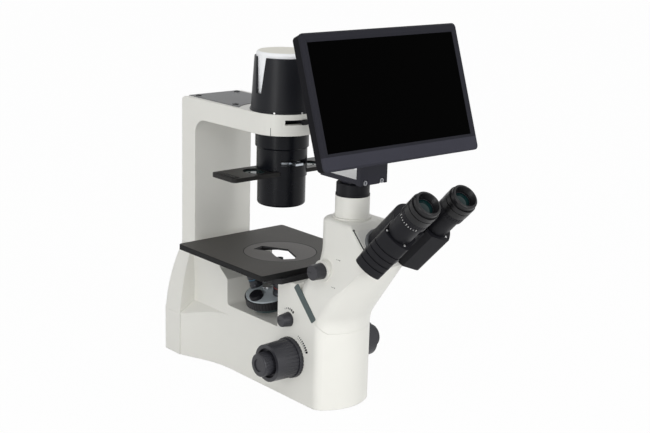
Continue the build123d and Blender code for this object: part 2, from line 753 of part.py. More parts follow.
def lamp_house():
    """Black tapered shell with a V notch on each side, on a flat foot ring."""
    lip_r = LAMP_BASE_R + LAMP_LIP
    wall = lamp_wall(LAMP_LIP_H)
    shell = turned((CAP_R + SEAT_GAP, 0), (lip_r, 0), (lip_r, LAMP_LIP_H), (wall, LAMP_LIP_H),
                   (LAMP_TOP_R, LAMP_H), (LAMP_TOP_R - LAMP_WALL, LAMP_H), (wall - LAMP_WALL, LAMP_LIP_H),
                   (CAP_R + SEAT_GAP, LAMP_LIP_H))
    notch = [(-LAMP_SLOT_BOTTOM / 2, LAMP_SLOT_Z), (LAMP_SLOT_BOTTOM / 2, LAMP_SLOT_Z),
             (LAMP_SLOT_TOP / 2, LAMP_H), (-LAMP_SLOT_TOP / 2, LAMP_H)]
    shell -= side_prism(notch, -2 * lip_r, 2 * lip_r)
    return Pos(0, 0, ARM_TOP) * shell


def lamp_cap():
    """Cream inner cap, closed and rounded on top."""
    outside = fillet(disc(CAP_R, 0, CAP_H).edges().sort_by(Axis.Z)[-1], CAP_EDGE_R)
    return Pos(0, 0, ARM_TOP) * (outside - disc(CAP_R - CAP_WALL, 0, CAP_H - CAP_WALL))


def lamp_socket():
    """Perforated tube that carries the bulb over the collector."""
    inside = LAMP_POST_R - CAP_WALL
    under = LAMP_POST_H - LAMP_PLATE_T
    tube = turned((inside, 0), (LAMP_POST_R, 0), (LAMP_POST_R, LAMP_POST_H), (0, LAMP_POST_H), (0, under),
                  (inside, under))
    vent_low = LAMP_POST_H / 4
    for k in range(6):
        vent = block((0, 2 * LAMP_POST_R), (-BULB_R / 2, BULB_R / 2), (vent_low, 3 * vent_low))
        tube -= Rot(0, 0, 30 + 60 * k) * vent
    bulb = fillet(disc(BULB_R, under - BULB_H, under).edges().sort_by(Axis.Z)[0], BULB_R * 0.8)
    return Pos(0, 0, ARM_TOP) * (tube + bulb)


def lens(radius, thick, rise):
    """A flat-bottomed lens with a domed top, standing on z = 0."""
    dome_r = (radius ** 2 + rise ** 2) / (2 * rise)
    crown = Pos(0, 0, thick + rise - dome_r) * Sphere(dome_r)
    return disc(radius, 0, thick + 2 * rise) & (crown + disc(radius, 0, thick))


def field_ring_low():
    return FIELD_ROOM_TOP - FIELD_SLOT_H / 2 - FIELD_RING_T / 2


def field_iris_lever():
    """Ring round the collar's pilot with a black handle through the arm's front slot."""
    ring = disc(FIELD_RING_R, 0, FIELD_RING_T)
    ring += block((-FIELD_LEVER_W / 2, FIELD_LEVER_W / 2), (-FIELD_LEVER_R, 0), (0, FIELD_RING_T))
    tab_half = FIELD_LEVER_W * 0.7
    tab_depth = (-FIELD_LEVER_R, -FIELD_LEVER_R + FIELD_RING_T)
    ring += block((-tab_half, tab_half), tab_depth, (-SLIP * 3, FIELD_RING_T + SLIP * 3))
    return Pos(0, 0, field_ring_low()) * (ring - disc(FIELD_RING_BORE, -FIELD_RING_T, 2 * FIELD_RING_T))


def condenser_collar():
    """Collar under the arm: spigot in the arm, pilot for the field ring, sleeve down over the iris ring."""
    spigot_top = field_ring_low() - SLIP
    pilot_top = spigot_top + FIELD_RING_T + 2 * SLIP
    sleeve_low = IRIS_LOW + IRIS_T + SLIP
    sleeve_r = UPPER_BORE - SEAT_GAP
    pilot_r = FIELD_RING_BORE - RUN
    pilot_bore = pilot_r - COLLAR_WALL / 2
    sleeve_bore = sleeve_r - COLLAR_WALL / 2
    return turned((sleeve_bore, sleeve_low), (sleeve_r, sleeve_low), (sleeve_r, COLLAR_LOW),
                  (COLLAR_R - COLLAR_CHAMFER, COLLAR_LOW), (COLLAR_R, COLLAR_LOW + COLLAR_CHAMFER),
                  (COLLAR_R, ARM_BOTTOM), (FIELD_ROOM_R - SEAT_GAP, ARM_BOTTOM),
                  (FIELD_ROOM_R - SEAT_GAP, spigot_top), (pilot_r, spigot_top), (pilot_r, pilot_top),
                  (pilot_bore, pilot_top), (pilot_bore, spigot_top - COLLAR_WALL),
                  (sleeve_bore, spigot_top - COLLAR_WALL))


def condenser_upper():
    """Barrel with the slot for the phase slider and the window for the iris lever."""
    ledge = UPPER_BORE - COLLAR_WALL / 2
    barrel = turned((ledge, UPPER_LOW), (UPPER_R, UPPER_LOW), (UPPER_R, COLLAR_LOW),
                    (UPPER_BORE, COLLAR_LOW), (UPPER_BORE, IRIS_LOW), (ledge, IRIS_LOW))
    slot_half = SLIDER_HALF_Y + SLIP
    slot_span = (SLIDER_LOW - SLIP, SLIDER_LOW + SLIDER_T + SLIP)
    barrel -= block((-UPPER_R, UPPER_R), (-slot_half, slot_half), slot_span)
    window_low = IRIS_LOW - SLIP
    return barrel - sector(IRIS_SLOT_HALF, 2 * UPPER_R, window_low, window_low + IRIS_SLOT_H)


def condenser_lower():
    """Lens barrel with a rounded lower rim."""
    plug_r = UPPER_BORE - COLLAR_WALL / 2 - SEAT_GAP
    plug_top = UPPER_LOW + SLIDER_LIFT / 2
    body = fillet(disc(LOWER_R, LOWER_LOW, UPPER_LOW).edges().sort_by(Axis.Z)[0], LOWER_EDGE_R)
    body += disc(plug_r, UPPER_LOW, plug_top)
    body -= disc(plug_r - LOWER_EDGE_R / 2, UPPER_LOW - LOWER_EDGE_R, plug_top)
    body -= disc(LOWER_BORE, LOWER_LOW + LENS_DEPTH, UPPER_LOW - LOWER_EDGE_R)
    return body - disc(LOWER_BORE - LENS_DEPTH, LOWER_LOW, LOWER_LOW + LENS_DEPTH)


def condenser_lens():
    return Pos(0, 0, LOWER_LOW + LENS_DEPTH) * lens(LOWER_BORE - SEAT_GAP, LENS_T, LENS_T)


def phase_slider():
    """Long plate with three stepped holes; it slides sideways through the condenser."""
    plate = block((-SLIDER_HALF_X, SLIDER_HALF_X), (-SLIDER_HALF_Y, SLIDER_HALF_Y), (0, SLIDER_T))
    plate = fillet(plate.edges().filter_by(Axis.Z), SLIDER_T)
    for x in (-SLIDER_PITCH, 0, SLIDER_PITCH):
        plate -= disc(SLIDER_HOLE_R - RING_T, 0, SLIDER_T, x)
        plate -= disc(SLIDER_HOLE_R, RING_T, SLIDER_T, x)
    return Pos(0, 0, SLIDER_LOW) * plate


def phase_rings():
    """Two stops with a ring of three slits, in the slider's outer holes."""
    stop = disc(SLIDER_HOLE_R - SEAT_GAP, 0, RING_T)
    slit = disc(RING_SLIT_OUT, 0, RING_T) - disc(RING_SLIT_IN, 0, RING_T)
    for k in range(3):
        slit -= Rot(0, 0, 120 * k) * block((0, RING_SLIT_OUT + 1), (-RING_T / 2, RING_T / 2), (0, RING_T))
    stop -= slit
    return Compound([Pos(x, 0, SLIDER_LOW + RING_T) * stop for x in (-SLIDER_PITCH, SLIDER_PITCH)])


def iris_lever():
    """Aperture ring with a broad lever through the front window."""
    ring = disc(UPPER_BORE - RUN, 0, IRIS_T)
    ring += block((-IRIS_LEVER_W / 2, IRIS_LEVER_W / 2), (-IRIS_LEVER_R, 0), (0, IRIS_T))
    return Pos(0, 0, IRIS_LOW) * (ring - disc(IRIS_RING_BORE, 0, IRIS_T))


def stage_plate():
    """Fixed stage with a stepped round opening for the insert."""
    plate = block((-STAGE_HALF, STAGE_HALF), (STAGE_FRONT, STAGE_BACK), (SUPPORT_TOP, STAGE_TOP))
    plate = fillet(plate.edges().filter_by(Axis.Z), STAGE_CORNER_R)
    plate = chamfer(plate.edges().group_by(Axis.Z)[-1], STAGE_EDGE)
    plate -= disc(INSERT_R + RUN, STAGE_TOP - INSERT_T, STAGE_TOP)
    plate -= disc(INSERT_R - INSERT_LEDGE, SUPPORT_TOP, STAGE_TOP)
    for x, y in stage_screw_spots():
        plate -= disc(SCREW_R + SEAT_GAP, SUPPORT_TOP, STAGE_TOP - SCREW_HEAD_T, x, y)
    return plate


def stage_screw_spots():
    return [(side * STAGE_SCREW_OUT, y) for y in (STAGE_SCREW_FRONT, STAGE_SCREW_BACK) for side in (-1, 1)]


def support_screw_spots():
    return [(side * STAGE_SCREW_X, y) for y in (STAGE_SCREW_FRONT, STAGE_SCREW_BACK) for side in (-1, 1)]


def stage_support():
    """Black plate between base and stage, cut away round the nosepiece."""
    plate = block((-SUPPORT_HALF, SUPPORT_HALF), (SUPPORT_FRONT, SUPPORT_BACK), (BASE_TOP, SUPPORT_TOP))
    fronts = [e for e in plate.edges().filter_by(Axis.Z) if e.center().Y < 0]
    plate = chamfer(fronts, SUPPORT_CORNER)
    plate -= disc(SUPPORT_HOLE_R, BASE_TOP, SUPPORT_TOP)
    for x, y in support_screw_spots():
        plate -= disc(SCREW_R + SEAT_GAP, BASE_TOP, SUPPORT_TOP, x, y)
        plate -= disc(SCREW_HEAD_R + SEAT_GAP, SUPPORT_TOP - SCREW_HEAD_T, SUPPORT_TOP, x, y)
    for x, y in stage_screw_spots():
        plate -= disc(SCREW_R + SEAT_GAP, BASE_TOP, SUPPORT_TOP, x, y)
        plate -= disc(SCREW_HEAD_R + SEAT_GAP, BASE_TOP, BASE_TOP + SCREW_HEAD_T, x, y)
    return plate


def stage_screws():
    """Four cap screws hold the support down, four more from below hold the stage."""
    down = screw(SCREW_HEAD_R, SCREW_HEAD_T, SCREW_R, SCREW_LENGTH)
    up = screw(SCREW_HEAD_R, SCREW_HEAD_T, SCREW_R, SUPPORT_T - SCREW_HEAD_T + STAGE_T - SCREW_HEAD_T)
    head_z = SUPPORT_TOP - SCREW_HEAD_T
    screws = [Pos(x, y, head_z) * down for x, y in support_screw_spots()]
    screws += [Pos(x, y, BASE_TOP + SCREW_HEAD_T) * Rot(180, 0, 0) * up for x, y in stage_screw_spots()]
    return Compound(screws)


def stage_insert():
    """Round insert with an irregular viewing hole; it turns in the stage."""
    hole = make_face(Polyline(*INSERT_HOLE, close=True))
    hole = fillet(hole.vertices(), INSERT_HOLE_R)
    return Pos(0, 0, STAGE_TOP - INSERT_T) * (disc(INSERT_R, 0, INSERT_T) - extrude(hole, INSERT_T))


def guide_rail():
    """Upright rail on the window's front wall for the nosepiece."""
    return block((-RAIL_HALF, RAIL_HALF), (WINDOW_FRONT, RAIL_FACE), (RAIL_LOW, RAIL_HIGH))


def tongue_slot(front, back):
    """Opening that the rack's tongue moves up and down in."""
    half = TONGUE_HALF + 2 * SLIP
    span = (TONGUE_LOW - FOCUS_DOWN - 2 * SLIP, TONGUE_HIGH + FOCUS_UP + 2 * SLIP)
    return block((-half, half), (front, back), span)


def nosepiece_carriage():
    """Plate that rides on the rail, with a bridge out to the sloping disc under the turret."""
    inner = RAIL_HALF + SLIP
    outer = inner + CHEEK_T
    face = RAIL_FACE + SLIP
    low, high = CARRIAGE_LOW, CARRIAGE_HIGH
    part = block((-outer, outer), (face, face + CARRIAGE_T), (low, high))
    for side in (-1, 1):
        spans = sorted((side * inner, side * outer))
        part += block(spans, (CHEEK_FRONT, face), (low, high))
    disc_top = GRIP_LOW - SLIP
    disc_low = disc_top - PLATE_T
    reach = TURRET_Y - face + CARRIAGE_T
    arm = TURRET * block((-reach, 0), (-BRIDGE_FAR, BRIDGE_NEAR), (disc_low, disc_top))
    arm -= block((-SKIRT_HALF, SKIRT_HALF), (face - reach, face), (0, PORT_Z + reach))
    part += arm + TURRET * disc(PLATE_R, disc_low, disc_top)
    part -= TURRET * disc(PIVOT_R + RUN, disc_low, disc_top)
    return part - disc(LIGHT_HOLE_R, WINDOW_FLOOR, PORT_Z)


def cone_height(rho):
    """Height of the turret's sloping top at a radius, in the turret's own frame."""
    return PORT_HEIGHT + (PORT_PITCH_R - rho) * tan(TILT)


def port_place(k):
    """Where the port at a quarter turn sits and points; port 0 is on the optical axis."""
    turn = 360 / PORT_COUNT * k
    return TURRET * Rot(0, 0, turn) * Pos(0, -PORT_PITCH_R, PORT_HEIGHT) * Rot(TURRET_TILT, 0, 0)


def turret():
    """Silver revolving head with four threaded ports."""
    hub_top = cone_height(HUB_FLAT_R)
    bore = PIVOT_R + RUN
    roof = TURRET_ROOF / cos(TILT)
    inside = TURRET_R - TURRET_WALL
    shell = turned((bore, GRIP_LOW), (HUB_FLAT_R, GRIP_LOW), (HUB_FLAT_R, cone_height(HUB_FLAT_R) - roof),
                   (inside, cone_height(inside) - roof), (inside, GRIP_LOW), (TURRET_R, GRIP_LOW),
                   (TURRET_R, GRIP_HIGH), (TURRET_SHELL_R, GRIP_HIGH),
                   (TURRET_SHELL_R, cone_height(TURRET_SHELL_R)), (HUB_FLAT_R, hub_top), (bore, hub_top))
    shell = TURRET * shell
    for k in range(PORT_COUNT):
        shell -= port_place(k) * disc(PORT_R + RUN, -2 * TURRET_ROOF, TURRET_ROOF)
    return shell


def turret_grip_ring():
    """Black ribbed ring by which the turret is turned."""
    ring = disc(GRIP_R, GRIP_LOW, GRIP_HIGH) - disc(TURRET_R, GRIP_LOW, GRIP_HIGH)
    groove = disc(GRIP_GROOVE_R, GRIP_LOW, GRIP_HIGH)
    spots = PolarLocations(GRIP_R + GRIP_GROOVE_R / 2, GRIP_GROOVES)
    return TURRET * (ring - [place * groove for place in spots])


def turret_pivot():
    """Headed pin in the carriage disc."""
    low = GRIP_LOW - SLIP - PLATE_T
    top = cone_height(HUB_FLAT_R) + SLIP
    return TURRET * (disc(PIVOT_R, low, top) + disc(PIVOT_HEAD_R, top, top + PIVOT_HEAD_T))


def objective(length):
    """An objective: threaded root, shoulder, barrel, cone and front lens mount."""
    barrel = SHOULDER_R - 0.6
    front = OBJECTIVE_BORE / 2
    return turned((OBJECTIVE_BORE, -TURRET_ROOF), (PORT_R, -TURRET_ROOF), (PORT_R, 0), (SHOULDER_R, 0),
                  (SHOULDER_R, 4), (barrel, 5), (barrel, length * 0.32), (barrel - 1, length * 0.34),
                  (barrel - 1, length * 0.40), (barrel, length * 0.42), (barrel, length * 0.66),
                  (TIP_R + 2, length * 0.84), (TIP_R, length * 0.86), (TIP_R, length), (front, length),
                  (front, length * 0.84), (OBJECTIVE_BORE, length * 0.66))


def port_plug():
    """Black cap in the port without an objective."""
    cap = chamfer(disc(SHOULDER_R, 0, PLUG_H).edges().sort_by(Axis.Z)[-1], PLUG_H / 4)
    return port_place(PLUG_PORT) * (cap + disc(PORT_R, -TURRET_ROOF, 0))


def tooth_half():
    """Half width of a tooth at the pitch line."""
    return pi * MODULE / 4 - TOOTH_SLACK / 2


def coarse_shaft():
    """Tube that carries the coarse knobs, with the pinion cut in its middle."""
    half = COARSE_FRONT - COARSE_DISH
    root = PINION_R - 1.25 * MODULE
    tip = PINION_R + 0.9 * MODULE
    wide = tooth_half()
    foot = wide * 1.3
    points = [(0, -foot), (root, -foot), (PINION_R, -wide), (tip, -wide / 2), (tip, wide / 2),
              (PINION_R, wide), (root, foot), (0, foot)]
    tooth = make_face(Polyline(*points, close=True))
    gear = Circle(root)
    for k in range(PINION_TEETH):
        gear += Rot(0, 0, 360 / PINION_TEETH * k) * tooth
    pinion = extrude(Plane.YZ.offset(-PINION_W / 2) * gear, PINION_W)
    tube = Pos(0, FOCUS_Y, FOCUS_Z) * pinion + rod(COARSE_SHAFT_R, -half, half, FOCUS_Y, FOCUS_Z)
    return tube - rod(FINE_SHAFT_R + RUN, -half, half, FOCUS_Y, FOCUS_Z)


def focus_rack():
    """Rack behind the pinion with a tongue through the wall to the carriage."""
    line = FOCUS_Y + PINION_R
    root = line + 1.25 * MODULE
    tip = line - 0.9 * MODULE
    back = root + RACK_T
    pitch = pi * MODULE
    part = block((-RACK_HALF, RACK_HALF), (root, back), (RACK_LOW, RACK_HIGH))
    part += block((-TONGUE_HALF, TONGUE_HALF), (back, RAIL_FACE + SLIP), (TONGUE_LOW, TONGUE_HIGH))
    slope = tan(radians(20))
    half_root = tooth_half() + 1.25 * MODULE * slope
    half_tip = tooth_half() - 0.9 * MODULE * slope
    for k in range(-RACK_TEETH // 2, RACK_TEETH // 2):
        z = FOCUS_Z + (k + 0.5) * pitch
        points = [(root, z - half_root), (tip, z - half_tip), (tip, z + half_tip), (root, z + half_root)]
        part += side_prism(points, -RACK_HALF, RACK_HALF)
    return part


def ribbed(radius, draft, low, high, ribs, groove):
    """A turned grip along x from low to high, wider at low, with grooves along it."""
    body = Cone(radius, radius - draft, high - low, align=(MID, MID, LOW))
    cutter = disc(groove, -1, high - low + 1)
    body -= [place * cutter for place in PolarLocations(radius + groove * 0.45, ribs)]
    return Pos(low, FOCUS_Y, FOCUS_Z) * Rot(0, 90, 0) * body


def tension_ring():
    """Notched ring between the base and the left coarse knob."""
    low = BODY_HALF + SLIP
    ring = ribbed(TENSION_R, TENSION_DRAFT, low, low + TENSION_T, TENSION_NOTCHES, 1.2)
    return mirrored(ring - rod(COARSE_SHAFT_R + RUN, low, low + TENSION_T, FOCUS_Y, FOCUS_Z))


def coarse_knobs():
    """Two coarse knobs: ribbed rim, dished end, hub on the tube."""
    low = BODY_HALF + TENSION_T + 2 * SLIP
    knob = ribbed(COARSE_R, COARSE_DRAFT, low, COARSE_FRONT, COARSE_RIBS, COARSE_GROOVE_R)
    knob -= rod(COARSE_DISH_R, COARSE_FRONT - COARSE_DISH, COARSE_FRONT, FOCUS_Y, FOCUS_Z)
    knob -= rod(COARSE_SHAFT_R + RUN, low, COARSE_FRONT, FOCUS_Y, FOCUS_Z)
    return Compound([mirrored(knob), knob])


def fine_shaft():
    """Rod through the tube from one fine knob to the other."""
    half = FINE_FRONT - FINE_WALL
    return rod(FINE_SHAFT_R, -half, half, FOCUS_Y, FOCUS_Z)


def fine_knobs():
    """Two fine knobs, each standing in a coarse knob's dish."""
    low = COARSE_FRONT - COARSE_DISH + 2 * SLIP
    knob = rod(FINE_R, low, FINE_FRONT, FOCUS_Y, FOCUS_Z)
    knob = fillet(knob.edges().sort_by(Axis.X)[-1], FINE_EDGE_R)
    knob -= rod(FINE_DISH_R, FINE_FRONT - FINE_DISH, FINE_FRONT, FOCUS_Y, FOCUS_Z)
    groove = disc(FINE_GROOVE_R, 0, FINE_FRONT - low)
    axle = Pos(low, FOCUS_Y, FOCUS_Z) * Rot(0, 90, 0)
    knob -= [axle * place * groove for place in PolarLocations(FINE_R + FINE_GROOVE_R / 2, FINE_RIBS)]
    knob -= rod(FINE_SHAFT_R + RUN, low, FINE_FRONT - FINE_WALL, FOCUS_Y, FOCUS_Z)
    return Compound([mirrored(knob), knob])


def light_knob():
    """Dimmer knob with a pointer flat, and its shaft into the base."""
    low = BODY_HALF + SLIP
    body = Cone(DIMMER_R, DIMMER_TIP_R, DIMMER_L, align=(MID, MID, LOW))
    body = fillet(body.edges().sort_by(Axis.Z)[-1], 1.2)
    body -= block((-0.6, 0.6), (0, DIMMER_R), (DIMMER_L - 1, DIMMER_L))
    knob = Pos(low, DIMMER_Y, DIMMER_Z) * Rot(0, 90, 0) * body
    knob += rod(DIMMER_SHAFT_R, BODY_HALF - BASE_WALL - DIMMER_SHAFT_IN, low, DIMMER_Y, DIMMER_Z)
    return mirrored(knob)


def rear_sockets():
    """Supply inlet with three flat pins, and the frame of the rocker switch beside it."""
    inlet = socket_body(INLET_X, INLET_W, INLET_H, INLET_D)
    back = SKIRT_REAR - INLET_D
    for k in (-1, 0, 1):
        x = INLET_X + k * PIN_PITCH
        inlet += block((x - PIN_T / 2, x + PIN_T / 2), (back, SKIRT_REAR - INLET_D / 3),
                       (SOCKET_Z - PIN_T, SOCKET_Z + PIN_T))
    frame = socket_body(-INLET_X, SWITCH_W, SWITCH_H, SWITCH_D)
    reach = rocker_high() + SLIP + ROCKER_PIN_L
    frame -= disc(ROCKER_PIN_R + RUN, SOCKET_Z - reach, SOCKET_Z + reach, -INLET_X, rocker_pin_y())
    return Compound([inlet, frame])


def socket_body(x, width, height, depth):
    """A rimmed box through the rear wall, open to the rear."""
    half_w = width / 2 - SEAT_GAP
    half_h = height / 2 - SEAT_GAP
    front = SKIRT_REAR - depth
    shell = block((x - half_w, x + half_w), (front, SKIRT_REAR), (SOCKET_Z - half_h, SOCKET_Z + half_h))
    rim_w = width / 2 + SOCKET_RIM
    rim_h = height / 2 + SOCKET_RIM
    rim_back = SKIRT_REAR + SOCKET_RIM_T
    shell += block((x - rim_w, x + rim_w), (SKIRT_REAR, rim_back), (SOCKET_Z - rim_h, SOCKET_Z + rim_h))
    in_w = half_w - SOCKET_WALL
    in_h = half_h - SOCKET_WALL
    hollow_front = front + SOCKET_WALL
    return shell - block((x - in_w, x + in_w), (hollow_front, rim_back), (SOCKET_Z - in_h, SOCKET_Z + in_h))


def rocker_half():
    return SWITCH_W / 2 - SEAT_GAP - SOCKET_WALL - 2 * SLIP


def rocker_high():
    return SWITCH_H / 2 - SEAT_GAP - SOCKET_WALL - SLIP


def rocker_pin_y():
    return SKIRT_REAR - ROCKER_DEPTH / 3


def power_rocker():
    """Rocker that tips about its upright pins in the switch frame."""
    high = rocker_high()
    half = rocker_half()
    tip = tan(radians(ROCKER_TILT)) * half
    y = SKIRT_REAR
    points = [(-half, y), (0, y - ROCKER_DEPTH), (half, y), (half, y + tip), (0, y + tip / 3),
              (-half, y + SOCKET_RIM_T)]
    face = make_face(Polyline(*points, close=True))
    rocker = Pos(-INLET_X, 0, SOCKET_Z - high) * extrude(face, 2 * high)
    reach = high + SLIP + ROCKER_PIN_L - SEAT_GAP
    return rocker + disc(ROCKER_PIN_R, SOCKET_Z - reach, SOCKET_Z + reach, -INLET_X, rocker_pin_y())


def head_section():
    """The head seen from the front: wide at the seat, narrow above, with soft shoulders."""
    half = BODY_HALF
    low = SEAT_FLAT_Z - MARGIN
    high = HEAD_TOP + MARGIN
    face = make_face(Polyline((-half, low), (-half, HEAD_SHOULDER_LOW), (-HEAD_HALF, HEAD_SHOULDER_HIGH),
                              (-HEAD_HALF, high), (HEAD_HALF, high), (HEAD_HALF, HEAD_SHOULDER_HIGH),
                              (half, HEAD_SHOULDER_LOW), (half, low), close=True))
    for side in (-1, 1):
        for point in ((side * half, HEAD_SHOULDER_LOW), (side * HEAD_HALF, HEAD_SHOULDER_HIGH)):
            face = fillet(face.vertices().sort_by_distance(point)[0], HEAD_SHOULDER_R)
    return face


def head_profile():
    """The head seen from the side: seat, leaning back, flat top and sloping face."""
    top_y = FACE_Y + (HEAD_TOP - FACE_Z)
    low_y = FACE_Y - (FACE_Z - SEAT_FLAT_Z)
    points = [(SEAT_TOP_Y, BASE_TOP), (HEAD_BACK, HEAD_KINK_Z), (HEAD_BACK, HEAD_TOP),
              (top_y, HEAD_TOP), (low_y, SEAT_FLAT_Z), (SEAT_FLAT_Y, SEAT_FLAT_Z)]
    face = make_face(Polyline(*points, close=True))
    return fillet(face.vertices().sort_by_distance((HEAD_BACK, HEAD_KINK_Z))[0], HEAD_KINK_R)


def head_front():
    """Solid whose front is the base's curve: upright at the seat, then bending out along the chin."""
    face_step = FACE_DOWN / sqrt(2)
    lean = radians(90 - HEAD_CHIN_ANGLE)
    kink_z = FACE_Z - face_step - (FRONT_Y - FACE_Y + face_step) / tan(lean)
    bend_low = kink_z - CHIN_BEND_R * tan(lean / 2)
    top = HEAD_TOP + MARGIN
    path = [(0, SEAT_FLAT_Z - MARGIN)]
    for k in range(CHIN_STEPS + 1):
        turn = lean * k / CHIN_STEPS
        path.append((CHIN_BEND_R * (1 - cos(turn)), bend_low + CHIN_BEND_R * sin(turn)))
    path.append(((top - kink_z) * tan(lean), top))
    plan = body_outline()
    slabs = []
    for (out, low), (next_out, high) in zip(path, path[1:]):
        step = Vector(0, out - next_out, high - low)
        slabs.append(extrude(Pos(0, -out, low) * plan, amount=step.length, dir=step.normalized()))
    return slabs[0] + slabs[1:]


def head_casting():
    """Observation head: sloping seat on the base, chin, sloping face and flat top, all edges soft."""
    deep = SEAT_TOP_Y - FACE_Y + FACE_Z - SEAT_FLAT_Z + 2 * MARGIN
    half = BODY_HALF + MARGIN
    shape = extrude(Plane.YZ.offset(-half) * head_profile(), amount=2 * half, dir=(1, 0, 0))
    shape &= extrude(Plane.XZ.offset(-SEAT_TOP_Y - MARGIN) * head_section(), amount=deep, dir=(0, -1, 0))
    shape &= head_front()
    backs = [e for e in shape.edges() if e.center().Y > HEAD_BACK - 1 and abs(e.center().X) > HEAD_HALF - 1
             and e.center().Z > BASE_TOP and abs((e @ 0).Z - (e @ 1).Z) > 2]
    shape = fillet(backs, HEAD_BACK_R)
    shape = fillet([e for e in shape.edges() if e.center().Z > HEAD_TOP - 0.5], HEAD_EDGE_R)
    shape = fillet(face_edges(shape), HEAD_EDGE_R)
    shape += rod(SELECT_BOSS_R, -SELECT_BOSS_X, 0, SELECT_Y, SELECT_Z)
    shape -= disc(PRISM_HOLE_R, SEAT_FLAT_Z, HEAD_TOP, y=PHOTO_Y)
    shape -= disc(HEAD_BORE_R, PRISM_Z - PRISM_HALF, HEAD_TOP, y=PHOTO_Y)
    bore_l = (PHOTO_Y - FACE_Y) * sqrt(2)
    shape -= FACE * disc(FACE_BORE_R, -bore_l, 0)
    return shape - rod(SELECT_SHAFT_R + RUN, -2 * SELECT_BOSS_X, 0, SELECT_Y, SELECT_Z)


def face_edges(shape):
    """The edges down both sides of the sloping face."""
    picked = []
    for e in shape.edges():
        c = e.center()
        on_face = abs((c.Y - FACE_Y) - (c.Z - FACE_Z)) < 1
        if on_face and abs(c.X) > HUB_R * 0.8 and BASE_TOP < c.Z < HEAD_TOP - HEAD_EDGE_R - 1:
            picked.append(e)
    return picked


def head_strips():
    """Grey cover strip over the joint on each side."""
    slope = radians(180 + SEAT_ANGLE)
    plane = Plane(origin=(-BODY_HALF, SEAT_TOP_Y, BASE_TOP), x_dir=(0, cos(slope), sin(slope)),
                  z_dir=(-1, 0, 0))
    strip = extrude(RectangleRounded(STRIP_LENGTH, STRIP_WIDTH, 2), STRIP_T)
    strip = chamfer(strip.edges().group_by(Axis.Z)[-1], STRIP_T / 3)
    left = plane * Pos(STRIP_START + STRIP_LENGTH / 2, 0, 0) * strip
    return Compound([left, mirrored(left)])


def head_prism():
    """Glass prism that turns the light towards the eyepieces."""
    h = PRISM_HALF
    points = [(PHOTO_Y - h, PRISM_Z - h), (PHOTO_Y + h, PRISM_Z - h), (PHOTO_Y + h, PRISM_Z),
              (PHOTO_Y, PRISM_Z + h), (PHOTO_Y - h, PRISM_Z + h)]
    return side_prism(points, -h, h)


def selector_knob():
    """Knob on the boss with its shaft and the flag mirror in the head's bore."""
    low = SELECT_BOSS_X + SLIP
    knob = ribbed_at(SELECT_R, 0.8, SELECT_L, SELECT_RIBS, 0.9)
    knob = Pos(low, SELECT_Y, SELECT_Z) * Rot(0, 90, 0) * knob
    knob += rod(SELECT_SHAFT_R, -FLAG_HALF, low, SELECT_Y, SELECT_Z)
    flag_depth = (SELECT_Y - FLAG_T / 2, SELECT_Y + FLAG_T / 2)
    knob += block((-FLAG_HALF, FLAG_HALF), flag_depth, (SELECT_Z, SELECT_Z + FLAG_L))
    return mirrored(knob)


def ribbed_at(radius, draft, length, ribs, groove):
    """A grip along z from zero, with grooves along it and a pointer line on its end."""
    body = Cone(radius, radius - draft, length, align=(MID, MID, LOW))
    cutter = disc(groove, -1, length + 1)
    body -= [place * cutter for place in PolarLocations(radius + groove * 0.45, ribs)]
    return body - block((-0.6, 0.6), (0, radius), (length - 0.8, length))


def phototube():
    """Upright tube for the camera with a boss ring on the head."""
    inside = TUBE_R - TUBE_WALL
    tube = turned((inside, 0), (TUBE_BOSS_R, 0), (TUBE_BOSS_R, TUBE_BOSS_H), (TUBE_R, TUBE_BOSS_H),
                  (TUBE_R, TUBE_H), (inside, TUBE_H))
    return Pos(0, PHOTO_Y, HEAD_TOP) * tube


def camera_adapter():
    """Black ring on the phototube in which the screen's bracket turns."""
    ring = turned((ADAPTER_BORE, 0), (ADAPTER_FLANGE_R, 0), (ADAPTER_FLANGE_R, ADAPTER_FLANGE_H),
                  (ADAPTER_R, ADAPTER_FLANGE_H), (ADAPTER_R, ADAPTER_H - 1), (ADAPTER_R - 1, ADAPTER_H),
                  (ADAPTER_BORE, ADAPTER_H))
    return Pos(0, PHOTO_Y, ADAPTER_LOW) * ring


def monitor_bracket():
    """Neck that turns in the adapter, foot plate, notched upright and hinge knuckle."""
    foot = block((-FOOT_PLATE_HALF, FOOT_PLATE_HALF), (UPRIGHT_BACK, FOOT_PLATE_BACK),
                 (BRACKET_LOW, BRACKET_TOP))
    rear = [e for e in foot.edges().filter_by(Axis.Z) if e.center().Y > PHOTO_Y]
    foot = fillet(rear, FOOT_PLATE_HALF / 3)
    neck = disc(NECK_R, NECK_LOW + SLIP, BRACKET_LOW, y=PHOTO_Y)
    neck += disc(ADAPTER_BORE - RUN, NECK_LOW - SPIGOT_L, NECK_LOW + SLIP, y=PHOTO_Y)
    neck -= disc(ADAPTER_BORE - TUBE_WALL, NECK_LOW - SPIGOT_L, BRACKET_LOW, y=PHOTO_Y)
    part = foot + neck
    part += block((-HINGE_HALF, HINGE_HALF), (UPRIGHT_FRONT, UPRIGHT_BACK), (BRACKET_LOW, HINGE_Z))
    part += rod(HINGE_R, -HINGE_HALF, HINGE_HALF, HINGE_Y, HINGE_Z)
    for x in (-UPRIGHT_SCREW_X, UPRIGHT_SCREW_X):
        notch = block((x - NOTCH_HALF, x + NOTCH_HALF), (UPRIGHT_FRONT, UPRIGHT_FRONT + NOTCH_D),
                      (BRACKET_LOW, upright_screw_z()))
        notch += along_upright(NOTCH_HALF, NOTCH_D, x)
        part -= notch + along_upright(UPRIGHT_SCREW_R + SEAT_GAP, 2 * UPRIGHT_T, x)
    return part - rod(HINGE_PIN_R, -HINGE_HALF, HINGE_HALF, HINGE_Y, HINGE_Z)


